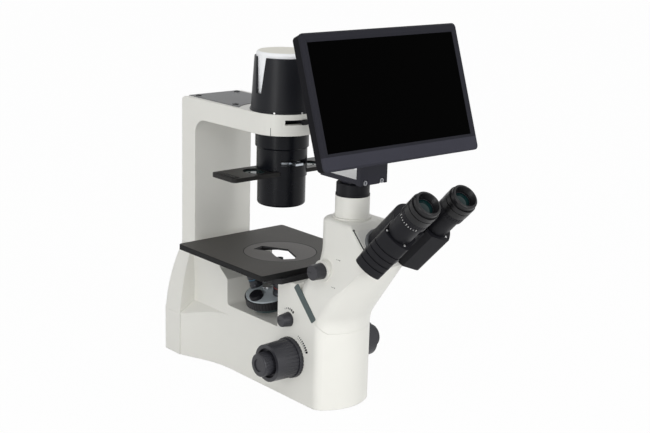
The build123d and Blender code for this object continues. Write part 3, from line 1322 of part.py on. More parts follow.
def upright_screw_z():
    return BRACKET_LOW + FOOT_PLATE_T / 2


def along_upright(radius, depth, x):
    """A cylinder from the upright's front face backwards at a screw's place."""
    return Pos(x, UPRIGHT_FRONT, upright_screw_z()) * Rot(-90, 0, 0) * disc(radius, 0, depth)


def bracket_screws():
    """Two silver screws that hold the upright to the foot plate."""
    one = screw(UPRIGHT_SCREW_HEAD_R, NOTCH_D, UPRIGHT_SCREW_R, UPRIGHT_T)
    level = upright_screw_z()
    places = [Pos(x, UPRIGHT_FRONT + NOTCH_D, level) for x in (-UPRIGHT_SCREW_X, UPRIGHT_SCREW_X)]
    return Compound([place * Rot(90, 0, 0) * one for place in places])


def hinge_pin():
    """Pin through the knuckle and both ears."""
    half = HINGE_HALF + SLIP + EAR_T
    return rod(HINGE_PIN_R, -half, half, HINGE_Y, HINGE_Z)


def screen_window(grow):
    """Outline of the visible display in the screen's own frame, grown by a margin."""
    width = SCREEN_W - 2 * BEZEL_SIDE + 2 * grow
    height = SCREEN_H - BEZEL_TOP - BEZEL_BOTTOM + 2 * grow
    return Pos(0, (BEZEL_BOTTOM - BEZEL_TOP) / 2) * Rectangle(width, height)


def monitor_bezel():
    """Front frame of the screen: bevelled outside, with a slope down to the display."""
    plate = extrude(RectangleRounded(SCREEN_W, SCREEN_H, SCREEN_CORNER_R), -BEZEL_T)
    plate = chamfer(plate.edges().group_by(Axis.Z)[-1], BEZEL_EDGE)
    plate -= extrude(screen_window(0), -BEZEL_T)
    plate -= loft([screen_window(BEZEL_SLOPE_W), Pos(0, 0, -BEZEL_SLOPE_D) * screen_window(0)])
    return SCREEN * (plate - Pos(0, 0, -BEZEL_STEP) * extrude(screen_window(BEZEL_LAP), -BEZEL_T))


def display_glass():
    return SCREEN * Pos(0, 0, -BEZEL_STEP) * extrude(screen_window(BEZEL_LAP - SEAT_GAP), -GLASS_T)


def screen_hinge():
    """The hinge pin's place in the screen's own frame (up, outwards)."""
    dy = HINGE_Y - SCREEN_MID_Y
    dz = HINGE_Z - SCREEN_MID_Z
    return dy * sin(LEAN) + dz * cos(LEAN), -dy * cos(LEAN) + dz * sin(LEAN)


def monitor_rear_shell():
    """Tapered back of the screen with a raised pack and two hinge ears."""
    depth = SCREEN_T - BEZEL_T
    taper = degrees(atan2(SCREEN_TAPER, depth))
    plan = RectangleRounded(SCREEN_W, SCREEN_H, SCREEN_CORNER_R + SCREEN_TAPER)
    shell = extrude(Plane.XY.offset(-BEZEL_T) * plan, -depth, taper=taper)
    less = 2 * SHELL_WALL + 2 * SCREEN_TAPER
    inner = RectangleRounded(SCREEN_W - less, SCREEN_H - less, SCREEN_CORNER_R)
    shell -= extrude(Plane.XY.offset(-BEZEL_T) * inner, -depth + SHELL_WALL)
    up, out = screen_hinge()
    pack = Pos(0, PACK_UP) * RectangleRounded(PACK_W, PACK_H, SCREEN_CORNER_R)
    shell += extrude(Plane.XY.offset(-SCREEN_T) * pack, -PACK_T, taper=30)
    for side in (-1, 1):
        x = sorted((side * (HINGE_HALF + SLIP), side * (HINGE_HALF + SLIP + EAR_T)))
        root = SHELL_WALL - SCREEN_T
        reach = [(up - EAR_ROOT, root), (up + EAR_ROOT, root), (up + HINGE_R, out), (up - HINGE_R, out)]
        ear = side_prism(reach, *x) + rod(HINGE_R, *x, up, out)
        shell += ear - rod(HINGE_PIN_R + RUN, *x, up, out)
    return SCREEN * shell


def swing(side):
    """Frame of one eyepiece arm: its x runs from the hub to the tube; side is -1 or +1."""
    return FACE * Rot(0, 0, -90 + side * SWING_ANGLE)


def binocular_hub():
    """Plate on the head's face, grey disc on it and the post that the two housings swing on."""
    plate = extrude(RectangleRounded(HUB_PLATE, HUB_PLATE, HUB_PLATE_R), HUB_PLATE_T)
    hub = chamfer(disc(HUB_R, 0, HUB_T).edges().sort_by(Axis.Z)[-1], 1)
    hub += plate + disc(HUB_POST_R, HUB_T, hub_cap_low())
    return FACE * (hub - disc(HUB_POST_R / 2, 0, hub_cap_low()))


def hub_cap_low():
    return BOX_TOP - EYE_SPIGOT_L


def hub_cap():
    """Cap that keeps the housings on the post."""
    cap = disc(HUB_CAP_R, hub_cap_low(), hub_cap_low() + HUB_CAP_T)
    cap = chamfer(cap.edges().sort_by(Axis.Z)[-1], 1)
    return FACE * cap


def box_plan(side):
    """Plan of one housing in its arm's frame: flat sides, bowed outer end, cut back towards the hub."""
    low = -side * BOX_LOWER_SIDE
    high = side * BOX_UPPER_SIDE
    slope = tan(radians(BOX_CLOSED))
    out = SWING_R + BOX_OUT
    end = ThreePointArc((out, low), (SWING_R + BOX_END, (low + high) / 2), (out, high))
    rest = Polyline((out, high), (BOX_UPPER_SIDE / slope, high), (BOX_NEAR, side * BOX_NEAR * slope),
                    (BOX_NEAR, -side * BOX_NEAR * slope), (BOX_LOWER_SIDE / slope, low), (out, low))
    face = make_face([end, rest])
    return fillet([v for v in face.vertices() if v.X > out - 1], BOX_CORNER_R)


def barrel_span(side):
    """Heights between which a housing reaches in to the hub; the left one lies under the right one."""
    if side < 0:
        return HUB_T + SLIP, BARREL_SPLIT
    return BARREL_SPLIT + SLIP, hub_cap_low() - SLIP


def eyepiece_box(side):
    """Housing of one side: block under the eye tube, ribbed outer end, barrel on the hub's post."""
    plan = box_plan(side)
    inner = offset(plan, -RIB_DEPTH)
    box = Pos(0, 0, BOX_LOW) * extrude(plan, BOX_TOP - BOX_LOW)
    plain = SWING_R if side < 0 else BOX_LOWER_SIDE - BOX_CORNER_R
    outer_end = block((SWING_R + RIB_BACK, 3 * SWING_R), (-plain, SWING_R), (0, BOX_TOP))
    for k in range(RIB_COUNT):
        ring = extrude(plan, RIB_W) - extrude(inner, RIB_W)
        box -= (Pos(0, 0, RIB_FIRST + k * RIB_PITCH) * ring) & outer_end
    box -= disc(BARREL_R + 2 * SLIP, 0, BOX_TOP)
    box -= disc(HUB_R + SLIP, 0, HUB_T + SLIP)
    low, high = barrel_span(side)
    bridge = Pos(BOX_BRIDGE / 2, 0) * Rectangle(BOX_BRIDGE, 2 * BOX_BRIDGE_HALF)
    box += Pos(0, 0, low) * extrude(Circle(BARREL_R) + bridge, high - low)
    box -= disc(EYE_TUBE_R - EYE_TUBE_WALL, BOX_FLOOR, BOX_TOP, SWING_R)
    return swing(side) * (box - disc(HUB_POST_R + RUN, low, high))


def eye_tube(side):
    """Tube with a spigot in the housing and a thin neck for the dioptre ring."""
    spigot = EYE_TUBE_R - EYE_TUBE_WALL
    seat = spigot - SEAT_GAP
    bore = spigot - EYE_TUBE_WALL
    low = BOX_TOP - EYE_SPIGOT_L
    groove_top = BOX_TOP + NECK_GROOVE
    top = EYE_TUBE_TOP + DIOPTER_H + 2 * SLIP
    tube = turned((bore, low), (seat, low), (seat, BOX_TOP), (spigot, groove_top), (EYE_TUBE_R, groove_top),
                  (EYE_TUBE_R, EYE_TUBE_TOP), (DIOPTER_BORE, EYE_TUBE_TOP), (DIOPTER_BORE, top),
                  (EYEPIECE_BORE, top), (EYEPIECE_BORE, EYE_TUBE_TOP), (bore, EYE_TUBE_TOP - EYE_TUBE_WALL))
    return swing(side) * Pos(SWING_R, 0, 0) * tube


def diopter_ring(side):
    """Notched ring that turns on the tube's neck."""
    low = EYE_TUBE_TOP + SLIP
    high = low + DIOPTER_H
    ring = disc(DIOPTER_R, low, high) - disc(DIOPTER_BORE + RUN, low, high)
    notch = disc(0.8, low + DIOPTER_H * 0.45, high)
    ring -= [place * notch for place in PolarLocations(DIOPTER_R + 0.3, DIOPTER_NOTCHES)]
    return swing(side) * Pos(SWING_R, 0, 0) * ring


def eyepiece(side):
    """Eyepiece on the tube's neck: barrel with a grip groove, then a soft cup."""
    low = EYE_TUBE_TOP + DIOPTER_H + 2 * SLIP
    waist = EYEPIECE_R - EYEPIECE_GROOVE_W
    groove_top = EYEPIECE_GROOVE + EYEPIECE_GROOVE_W
    cup_low = EYEPIECE_TOP + CUP_STEP
    barrel = turned((EYEPIECE_BORE, low), (EYEPIECE_R, low), (EYEPIECE_R, EYEPIECE_GROOVE),
                    (waist, EYEPIECE_GROOVE), (waist, groove_top), (EYEPIECE_R, groove_top),
                    (EYEPIECE_R, EYEPIECE_TOP), (CUP_R - CUP_STEP, EYEPIECE_TOP),
                    (CUP_R - CUP_STEP, cup_low), (CUP_R, cup_low), (CUP_R, CUP_TOP),
                    (CUP_MOUTH_R, CUP_TOP), (EYEPIECE_BORE, EYE_LENS_Z))
    rims = [e for e in barrel.edges() if e.center().Z > CUP_TOP - 0.1]
    barrel = fillet(max(rims, key=lambda e: e.length), CUP_EDGE_R)
    return swing(side) * Pos(SWING_R, 0, 0) * barrel


def save(name, part):
    """Write one named piece in the finished frame."""
    export_step(Pos(0, AXIS_Y, 0) * part, f"parts/{name}.step")


def objectives():
    """The three objectives; the first stands on the optical axis."""
    return [port_place(k) * objective(length) for k, length in zip(OBJECTIVE_PORTS, OBJECTIVE_LENGTHS)]


PIECES = {
    "base_casting": base_casting, "base_plate": base_plate, "rubber_feet": rubber_feet,
    "pillar_arm": pillar_arm, "arm_top_cover": arm_top_cover, "arm_cover_screws": arm_cover_screws,
    "lamp_house": lamp_house, "lamp_cap": lamp_cap, "lamp_socket": lamp_socket,
    "field_iris_lever": field_iris_lever, "condenser_collar": condenser_collar,
    "condenser_upper": condenser_upper, "condenser_lower": condenser_lower,
    "condenser_lens": condenser_lens, "phase_slider": phase_slider, "phase_rings": phase_rings,
    "iris_lever": iris_lever,
    "stage_plate": stage_plate, "stage_support": stage_support, "stage_screws": stage_screws,
    "stage_insert": stage_insert, "nosepiece_carriage": nosepiece_carriage,
    "turret": turret, "turret_grip_ring": turret_grip_ring, "turret_pivot": turret_pivot,
    "port_plug": port_plug, "coarse_shaft": coarse_shaft, "focus_rack": focus_rack,
    "tension_ring": tension_ring, "coarse_knobs": coarse_knobs, "fine_shaft": fine_shaft,
    "fine_knobs": fine_knobs, "light_knob": light_knob, "rear_sockets": rear_sockets,
    "power_rocker": power_rocker, "head_casting": head_casting, "head_strips": head_strips,
    "head_prism": head_prism, "selector_knob": selector_knob, "phototube": phototube,
    "camera_adapter": camera_adapter, "monitor_bracket": monitor_bracket, "bracket_screws": bracket_screws,
    "hinge_pin": hinge_pin, "monitor_bezel": monitor_bezel, "display_glass": display_glass,
    "monitor_rear_shell": monitor_rear_shell, "binocular_hub": binocular_hub, "hub_cap": hub_cap,
}
os.makedirs("parts", exist_ok=True)
for name, make in PIECES.items():
    save(name, make())
for number, part in enumerate(objectives(), 1):
    save(f"objective_{number}", part)
for side, word in ((-1, "left"), (1, "right")):
    save(f"eyepiece_box_{word}", eyepiece_box(side))
    save(f"eye_tube_{word}", eye_tube(side))
    save(f"diopter_ring_{word}", diopter_ring(side))
    save(f"eyepiece_{word}", eyepiece(side))
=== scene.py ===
import math

import bmesh
import bpy
from mathutils import Matrix, Vector
from mathutils.bvhtree import BVHTree


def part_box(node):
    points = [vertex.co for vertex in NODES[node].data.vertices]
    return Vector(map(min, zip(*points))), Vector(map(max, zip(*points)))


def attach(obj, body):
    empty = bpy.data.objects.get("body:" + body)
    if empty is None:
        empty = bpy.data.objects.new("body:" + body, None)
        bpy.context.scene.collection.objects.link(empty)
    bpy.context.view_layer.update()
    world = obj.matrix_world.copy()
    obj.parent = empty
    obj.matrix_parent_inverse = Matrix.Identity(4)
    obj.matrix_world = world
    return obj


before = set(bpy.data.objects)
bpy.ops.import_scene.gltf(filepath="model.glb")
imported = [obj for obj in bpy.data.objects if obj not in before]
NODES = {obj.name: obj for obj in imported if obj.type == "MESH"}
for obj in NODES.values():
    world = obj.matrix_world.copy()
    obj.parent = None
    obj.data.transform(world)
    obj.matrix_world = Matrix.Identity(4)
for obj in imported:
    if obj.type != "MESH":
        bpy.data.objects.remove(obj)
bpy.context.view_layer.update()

MM = 0.001
AXIS_Y = 76.4            # the optical axis stands this far behind the frame's origin
FACE_Y, FACE_Z = -220.9, 251.2
SWING_R, SWING_ANGLE = 38.0, 61.2
SCREEN_Y, SCREEN_Z, SCREEN_LEAN = -231.9, 462.8, math.radians(18.95)
TILT, LEAN = math.radians(15), math.radians(186)
PORT_R, PORT_RISE = 24.0, 20.0       # a port from the middle of the turret
PORT_Z = 146.0           # the port that stands on the optical axis
OBJECTIVES = ((1, 0, 38.5), (2, 1, 33.0), (3, 3, 36.0))     # number, port and length
TUBE_MARK_R, TUBE_MARK_UP, TUBE_MARK_TURN = 19.95, 110.8, 70
HOUSING_TOP = 77
GAP_SHADOW_IN, GAP_SHADOW_OUT = 53.8, 54.95      # painted shadow of the gap round the stage insert
PLATE_SIDE = 31.9        # where a painted gap shadow runs beside the hub's plate
ARM_END_R = 48
LAMP_FOOT_R, LAMP_SCREW_Z = 47.3, 409.6
BOTTOM_Z = 3.0
SCREEN_BACK, SCREEN_LOUVRE = 18, 26
FACE_OUT = (0, -math.sqrt(0.5), math.sqrt(0.5))
SCREEN_UP = (0, math.sin(SCREEN_LEAN), math.cos(SCREEN_LEAN))
BASE_SIDE = -50.5
DIMMER = (-86.0, 122.0)
FOCUS = (-92.0, 66.5)


def at(x, y, z):
    """A place given about the optical axis in millimetres, in scene metres."""
    return Vector((x * MM, (y + AXIS_Y) * MM, z * MM))


def spot(place, z_dir, x_dir):
    """Frame in millimetres at a place about the optical axis, with the given z and x directions."""
    z_axis = Vector(z_dir).normalized()
    x_axis = (Vector(x_dir) - z_axis * z_axis.dot(Vector(x_dir))).normalized()
    turn = Matrix((x_axis, z_axis.cross(x_axis), z_axis)).transposed().to_4x4()
    return Matrix.Translation(at(*place)) @ turn @ Matrix.Scale(MM, 4)


def shift(x, y, z=0.0):
    """A move in millimetres inside a spot's frame."""
    return Matrix.Translation((x, y, z))


def spin(angle):
    """A turn about a spot's z axis, in degrees."""
    return Matrix.Rotation(math.radians(angle), 4, "Z")


def srgb(r, g, b):
    """A colour given as 0 to 255 screen values, in linear light."""
    def one(v):
        v /= 255
        return v / 12.92 if v <= 0.04045 else ((v + 0.055) / 1.055) ** 2.4
    return (one(r), one(g), one(b), 1)


def cloud_ramp(nodes, links, cloud, color, tint):
    """The colour, a little darker and lighter in soft clouds."""
    ramp = nodes.new("ShaderNodeValToRGB")
    ramp.color_ramp.elements[0].position = 0.3
    ramp.color_ramp.elements[0].color = [c * (1 - tint) for c in color[:3]] + [1]
    ramp.color_ramp.elements[1].position = 0.7
    ramp.color_ramp.elements[1].color = [min(c * (1 + tint), 1) for c in color[:3]] + [1]
    links.new(cloud.outputs["Fac"], ramp.inputs["Fac"])
    return ramp.outputs["Color"]


def facing_up_painted_light_mask(nodes, links):
    """One on faces that look straight up, zero on walls."""
    geometry = nodes.new("ShaderNodeNewGeometry")
    split = nodes.new("ShaderNodeSeparateXYZ")
    links.new(geometry.outputs["Normal"], split.inputs["Vector"])
    level = nodes.new("ShaderNodeMapRange")
    level.inputs["From Min"].default_value = 0.75
    level.inputs["From Max"].default_value = 0.95
    links.new(split.outputs["Z"], level.inputs["Value"])
    return level.outputs["Result"]


def beyond(nodes, links, place, origin, way, distance):
    """One on what lies more than this many millimetres past the origin along the way."""
    back = nodes.new("ShaderNodeVectorMath")
    back.operation = "SUBTRACT"
    back.inputs[1].default_value = at(*origin)
    links.new(place.outputs["Object"], back.inputs[0])
    along = nodes.new("ShaderNodeVectorMath")
    along.operation = "DOT_PRODUCT"
    along.inputs[1].default_value = way
    links.new(back.outputs["Vector"], along.inputs[0])
    over = nodes.new("ShaderNodeMath")
    over.operation = "GREATER_THAN"
    over.inputs[1].default_value = distance * MM
    links.new(along.outputs["Value"], over.inputs[0])
    return over.outputs["Value"]


def finish_material(name, color, rough, metal=0.0, shine=0.5, grain=0.0, grain_size=900.0, spread=0.06,
                    bevel=0.0, tint=0.04, walls=None, near=None, zone=None):
    """A surface with slightly uneven colour and roughness, fine grain and softened edges.

    Where walls is given, faces that don't look straight up take that colour. Where near is given,
    what isn't beyond the zone's distance takes that one."""
    mat = bpy.data.materials.new(name)
    mat.use_nodes = True
    nodes, links = mat.node_tree.nodes, mat.node_tree.links
    shader = nodes["Principled BSDF"]
    shader.inputs["Metallic"].default_value = metal
    shader.inputs["Specular IOR Level"].default_value = shine
    place = nodes.new("ShaderNodeTexCoord")
    cloud = nodes.new("ShaderNodeTexNoise")
    cloud.inputs["Scale"].default_value = 22.0
    cloud.inputs["Detail"].default_value = 4.0
    links.new(place.outputs["Object"], cloud.inputs["Vector"])
    rough_map = nodes.new("ShaderNodeMapRange")
    rough_map.inputs["To Min"].default_value = max(rough - spread, 0.02)
    rough_map.inputs["To Max"].default_value = min(rough + spread, 1.0)
    links.new(cloud.outputs["Fac"], rough_map.inputs["Value"])
    links.new(rough_map.outputs["Result"], shader.inputs["Roughness"])
    paint = cloud_ramp(nodes, links, cloud, color, tint)
    other = walls or near
    if other:
        # With walls, faces are coloured by whether they look up: painted light and shade by the way a face
        # turns. With near, by a zone in space.
        mask = facing_up_painted_light_mask(nodes, links) if walls else beyond(nodes, links, place, *zone)
        mix = nodes.new("ShaderNodeMix")
        mix.data_type = "RGBA"
        links.new(mask, mix.inputs["Factor"])
        links.new(cloud_ramp(nodes, links, cloud, other, tint), mix.inputs["A"])
        links.new(paint, mix.inputs["B"])
        paint = mix.outputs["Result"]
    links.new(paint, shader.inputs["Base Color"])
    normal = None
    if bevel:
        soft = nodes.new("ShaderNodeBevel")
        soft.samples = 6
        soft.inputs["Radius"].default_value = bevel * MM
        normal = soft.outputs["Normal"]
    if grain:
        fine = nodes.new("ShaderNodeTexNoise")
        fine.inputs["Scale"].default_value = grain_size
        fine.inputs["Detail"].default_value = 2.0
        links.new(place.outputs["Object"], fine.inputs["Vector"])
        bump = nodes.new("ShaderNodeBump")
        bump.inputs["Strength"].default_value = grain
        bump.inputs["Distance"].default_value = 0.0004
        links.new(fine.outputs["Fac"], bump.inputs["Height"])
        if normal:
            links.new(normal, bump.inputs["Normal"])
        normal = bump.outputs["Normal"]
    if normal:
        links.new(normal, shader.inputs["Normal"])
    return mat


def coated_glass_painted_sheen(name, color, strength):
    """Dark lens glass with a coloured coating, its colour painted into the base where the surface turns from
    view: a painted coating reflection.
    """
    mat = bpy.data.materials.new(name)
    mat.use_nodes = True
    nodes, links = mat.node_tree.nodes, mat.node_tree.links
    shader = nodes["Principled BSDF"]
    shader.inputs["Roughness"].default_value = 0.04
    shader.inputs["Specular IOR Level"].default_value = 0.2
    # The base colour turns to the coating's colour at glancing view: painted coating reflection.
    facing = nodes.new("ShaderNodeLayerWeight")
    facing.inputs["Blend"].default_value = 0.35
    ramp = nodes.new("ShaderNodeValToRGB")
    ramp.color_ramp.elements[0].color = (0.004, 0.012, 0.014, 1)
    ramp.color_ramp.elements[1].color = color
    links.new(facing.outputs["Facing"], ramp.inputs["Fac"])
    links.new(ramp.outputs["Color"], shader.inputs["Base Color"])
    shader.inputs["Coat Weight"].default_value = strength
    shader.inputs["Coat Tint"].default_value = color
    return mat


WHITE = finish_material("body_white", srgb(231, 230, 223), 0.42, grain=0.10, grain_size=1400, bevel=1.6,
                        tint=0.012)
# The stage's side walls are painted near black: painted shade on the walls, with the top in the stage's own
# grey.
STAGE = finish_material("stage_grey", srgb(73, 71, 68), 0.55, shine=0.18, grain=0.25, grain_size=2600,
                        bevel=0.5, walls=srgb(14, 14, 15))
# The insert's walls, round its rim and its hole, are painted darker than its top: painted shade.
INSERT = finish_material("insert_grey", srgb(82, 79, 76), 0.5, shine=0.3, grain=0.2, grain_size=2600,
                         bevel=0.4, walls=srgb(26, 26, 28))
EDGE = finish_material("edge_black", srgb(26, 26, 28), 0.5, shine=0.25, grain=0.2, grain_size=2200, bevel=0.6)
COVER = finish_material("cover_grey", srgb(112, 113, 114), 0.5, shine=0.3, grain=0.2, grain_size=2000,
                        bevel=0.4)
SHADE = finish_material("screw_grey", srgb(72, 73, 75), 0.45, metal=0.3, grain=0.1, bevel=0.3)
LAMP = finish_material("lamp_black", srgb(26, 27, 31), 0.40, shine=0.20, grain=0.08, grain_size=1800,
                       bevel=0.5)
# The cap's walls are painted lighter than its cream top: painted light on walls that stand in shade.
CREAM = finish_material("cap_cream", srgb(230, 227, 214), 0.45, grain=0.08, bevel=0.8, tint=0.01,
                        walls=srgb(250, 251, 252))
CONDENSER = finish_material("condenser_black", srgb(9, 11, 17), 0.28, shine=0.17, grain=0.03, bevel=0.6)
SLIDER = finish_material("slider_dark", srgb(27, 26, 25), 0.36, metal=0.1, shine=0.2, grain=0.10, bevel=0.4)
KNOB = finish_material("knob_charcoal", srgb(44, 44, 49), 0.36, shine=0.4, grain=0.25, grain_size=2400,
                       bevel=0.4)
BLACK = finish_material("black_plastic", srgb(24, 24, 28), 0.42, shine=0.15, grain=0.18, grain_size=2200,
                        bevel=0.5)
GLASS_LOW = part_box("display_glass")[0].z / MM
# The bezel's band below the glass takes a lighter colour than the rest: painted light on the bottom band.
BEZEL = finish_material("bezel_charcoal", srgb(36, 36, 42), 0.6, shine=0.08, grain=0.3, grain_size=2600,
                        bevel=0.8, near=srgb(54, 54, 62),
                        zone=((0, SCREEN_Y, SCREEN_Z), SCREEN_UP, (GLASS_LOW - SCREEN_Z) / SCREEN_UP[2]))
# Black sheet bracket whose up-facing tops are painted near white: a painted reflection of the white
# surroundings.
BRACKET_PAINTED_REFLECTION = finish_material("bracket_black", srgb(250, 250, 249), 0.3, shine=0.2, bevel=0.4,
                          walls=srgb(34, 34, 44))
SHELL = finish_material("shell_black", srgb(19, 19, 23), 0.6, shine=0.05, grain=0.3, grain_size=2600,
                        bevel=0.8)
STRIP = finish_material("strip_grey", srgb(80, 91, 91), 0.5, shine=0.3, grain=0.15, bevel=0.4)
STEEL = finish_material("steel", srgb(200, 200, 200), 0.32, metal=1.0, grain=0.05, bevel=0.2)
BLUED = finish_material("blued_steel", srgb(150, 151, 156), 0.3, metal=1.0, bevel=0.2)
SILVER = finish_material("silver", srgb(196, 202, 208), 0.36, metal=1.0, grain=0.08, bevel=0.4)
DISH = finish_material("dish_silver", srgb(205, 214, 218), 0.38, metal=0.45, grain=0.06, bevel=0.4)
BARREL = finish_material("barrel_dark", srgb(52, 53, 57), 0.3, metal=0.7, grain=0.06, bevel=0.3)
CARRIAGE = finish_material("carriage_dark", srgb(58, 70, 71), 0.4, metal=0.3, shine=0.3, grain=0.12,
                           bevel=0.5)
RUBBER = finish_material("rubber", srgb(18, 18, 20), 0.36, shine=0.32, grain=0.3, grain_size=1600, bevel=0.6)
HUB = finish_material("hub_grey", srgb(104, 106, 108), 0.45, shine=0.3, grain=0.12, bevel=0.5,
                      near=srgb(228, 227, 222), zone=((0, FACE_Y, FACE_Z), FACE_OUT, 1.6))
MARK = finish_material("mark_white", srgb(222, 222, 219), 0.6)
# Dark ink for printed marks, also used for the painted shadow in the gaps round the insert and beside the
# hub's plate.
INK_AND_GAP_SHADOW = finish_material("mark_ink", srgb(24, 24, 27), 0.6, shine=0.1)
DISPLAY = finish_material("display_black", srgb(1, 1, 1), 0.10, shine=0.01, spread=0.01)
BANDS = [finish_material("band_" + word, color, 0.4) for word, color in
         (("yellow", srgb(150, 122, 40)), ("blue", srgb(58, 98, 122)), ("red", srgb(118, 38, 36)))]
LENS = coated_glass_painted_sheen("lens_coated", (0.004, 0.05, 0.05, 1), 0.3)
GLASS = coated_glass_painted_sheen("glass", (0.10, 0.16, 0.16, 1), 0.6)

LOOKS = {
    "base_casting": WHITE, "pillar_arm": WHITE, "head_casting": WHITE, "phototube": WHITE,
    "base_plate": EDGE, "rubber_feet": RUBBER, "arm_top_cover": COVER, "arm_cover_screws": SHADE,
    "lamp_house": LAMP, "lamp_cap": CREAM, "lamp_socket": SILVER, "field_iris_lever": BLACK,
    "condenser_collar": CONDENSER, "condenser_upper": CONDENSER, "condenser_lower": CONDENSER,
    "condenser_lens": GLASS, "phase_slider": SLIDER, "phase_rings": GLASS, "iris_lever": SILVER,
    "stage_plate": STAGE, "stage_support": EDGE, "stage_screws": STEEL, "stage_insert": INSERT,
    "nosepiece_carriage": CARRIAGE, "turret": DISH, "turret_grip_ring": EDGE, "turret_pivot": STEEL,
    "port_plug": BLACK, "objective_1": BARREL, "objective_2": BARREL, "objective_3": BARREL,
    "coarse_shaft": STEEL, "focus_rack": STEEL, "tension_ring": KNOB, "coarse_knobs": KNOB,
    "fine_shaft": STEEL, "fine_knobs": KNOB, "light_knob": KNOB, "rear_sockets": BLACK,
    "power_rocker": BLACK, "head_strips": STRIP, "head_prism": GLASS, "selector_knob": KNOB,
    "camera_adapter": BLACK, "monitor_bracket": BRACKET_PAINTED_REFLECTION, "bracket_screws": BLUED, "hinge_pin": STEEL,
    "monitor_bezel": BEZEL, "display_glass": DISPLAY, "monitor_rear_shell": SHELL,
    "binocular_hub": HUB, "hub_cap": BLACK,
}
for word in ("left", "right"):
    LOOKS["eyepiece_box_" + word] = BLACK
    LOOKS["eye_tube_" + word] = BLACK
    LOOKS["diopter_ring_" + word] = BLACK
    LOOKS["eyepiece_" + word] = RUBBER
for node_name, look in LOOKS.items():
    NODES[node_name].data.materials.clear()
    NODES[node_name].data.materials.append(look)


def finish_piece(name, bm, look, body):
    """Turn built geometry into a named piece that moves with a body."""
    mesh = bpy.data.meshes.new(name)
    bmesh.ops.recalc_face_normals(bm, faces=bm.faces)
    bm.to_mesh(mesh)
    bm.free()
    for face in mesh.polygons:
        face.use_smooth = True
    mesh.set_sharp_from_angle(angle=math.radians(35))
    mesh.materials.append(look)
    piece = bpy.data.objects.new(name, mesh)
    bpy.context.scene.collection.objects.link(piece)
    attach(piece, body)
    return piece


def add_rings(bm, place, rings):
    """Skin a row of point rings; a ring of one point closes the shape there."""
    made = [[bm.verts.new(place @ Vector(p)) for p in ring] for ring in rings]
    for low, high in zip(made, made[1:]):
        count = max(len(low), len(high))
        for k in range(count):
            n = (k + 1) % count
            if len(low) == 1:
                bm.faces.new((low[0], high[n], high[k]))
            elif len(high) == 1:
                bm.faces.new((low[k], low[n], high[0]))
            else:
                bm.faces.new((low[k], low[n], high[n], high[k]))


def circle(radius, height, steps):
    """Points of a circle at a height, or its middle where the radius is zero."""
    if radius == 0:
        return [(0, 0, height)]
    angles = [2 * math.pi * k / steps for k in range(steps)]
    return [(radius * math.cos(a), radius * math.sin(a), height) for a in angles]


def add_turned(bm, place, line, steps=48):
    """Turn a line of (radius, height) points about the spot's z axis."""
    add_rings(bm, place, [circle(radius, height, steps) for radius, height in line])


def hexagon(radius, height, steps):
    """Points of a hexagon with flats at the radius, spread as a circle's points are."""
    points = []
    for k in range(steps):
        a = 2 * math.pi * k / steps
        reach = radius / math.cos((a + math.pi / 6) % (math.pi / 3) - math.pi / 6)
        points.append((reach * math.cos(a), reach * math.sin(a), height))
    return points


def add_screw(bm, place, radius, height, steps=24):
    """Socket screw head: rounded edge, flat top and a hexagon hole."""
    edge = radius * 0.25
    hole = radius * 0.5
    add_rings(bm, place, [
        circle(radius, 0, steps), circle(radius, height - edge, steps),
        circle(radius - edge * 0.3, height - edge * 0.3, steps), circle(radius - edge, height, steps),
        hexagon(hole, height, steps), hexagon(hole, height * 0.3, steps), circle(0, height * 0.3, steps)])


def add_bar(bm, place, length, width, height):
    """Low bar along x with rounded ends and a bevelled top, lying on the spot's plane."""
    end = width / 2

    def outline(inset, level):
        points = []
        for k in range(12):
            near = k < 6
            a = math.pi * (k / 5 - 0.5) if near else math.pi * ((k - 6) / 5 + 0.5)
            middle = (length / 2 - end) * (1 if near else -1)
            points.append((middle + (end - inset) * math.cos(a), (end - inset) * math.sin(a), level))
        return points
    bevel = min(height, width) * 0.3
    add_rings(bm, place, [outline(0, 0), outline(0, height - bevel), outline(bevel, height),
                          [(0, 0, height)]])


def face_frame():
    """Frame of the head's sloping face: y runs up it."""
    return spot((0, FACE_Y, FACE_Z), FACE_OUT, (1, 0, 0))


def eye_frame(side):
    """Frame of one eye tube: z runs up the tube from the head's sloping face."""
    return face_frame() @ spin(-90 + side * SWING_ANGLE) @ shift(SWING_R, 0)


def port_frame(number):
    """Frame of one turret port: z runs up its objective."""
    reach = PORT_R * math.cos(TILT) - PORT_RISE * math.sin(TILT)
    drop = PORT_R * math.sin(TILT) + PORT_RISE * math.cos(TILT)
    up = (math.sin(TILT) * math.cos(LEAN), math.sin(TILT) * math.sin(LEAN), math.cos(TILT))
    middle = (reach * math.cos(LEAN), reach * math.sin(LEAN), PORT_Z - drop)
    side = (math.sin(LEAN), -math.cos(LEAN), 0)
    turret = spot(middle, up, side)
    lean = Matrix.Rotation(TILT, 4, "X")
    return turret @ spin(90 * number) @ shift(0, -PORT_R, PORT_RISE) @ lean


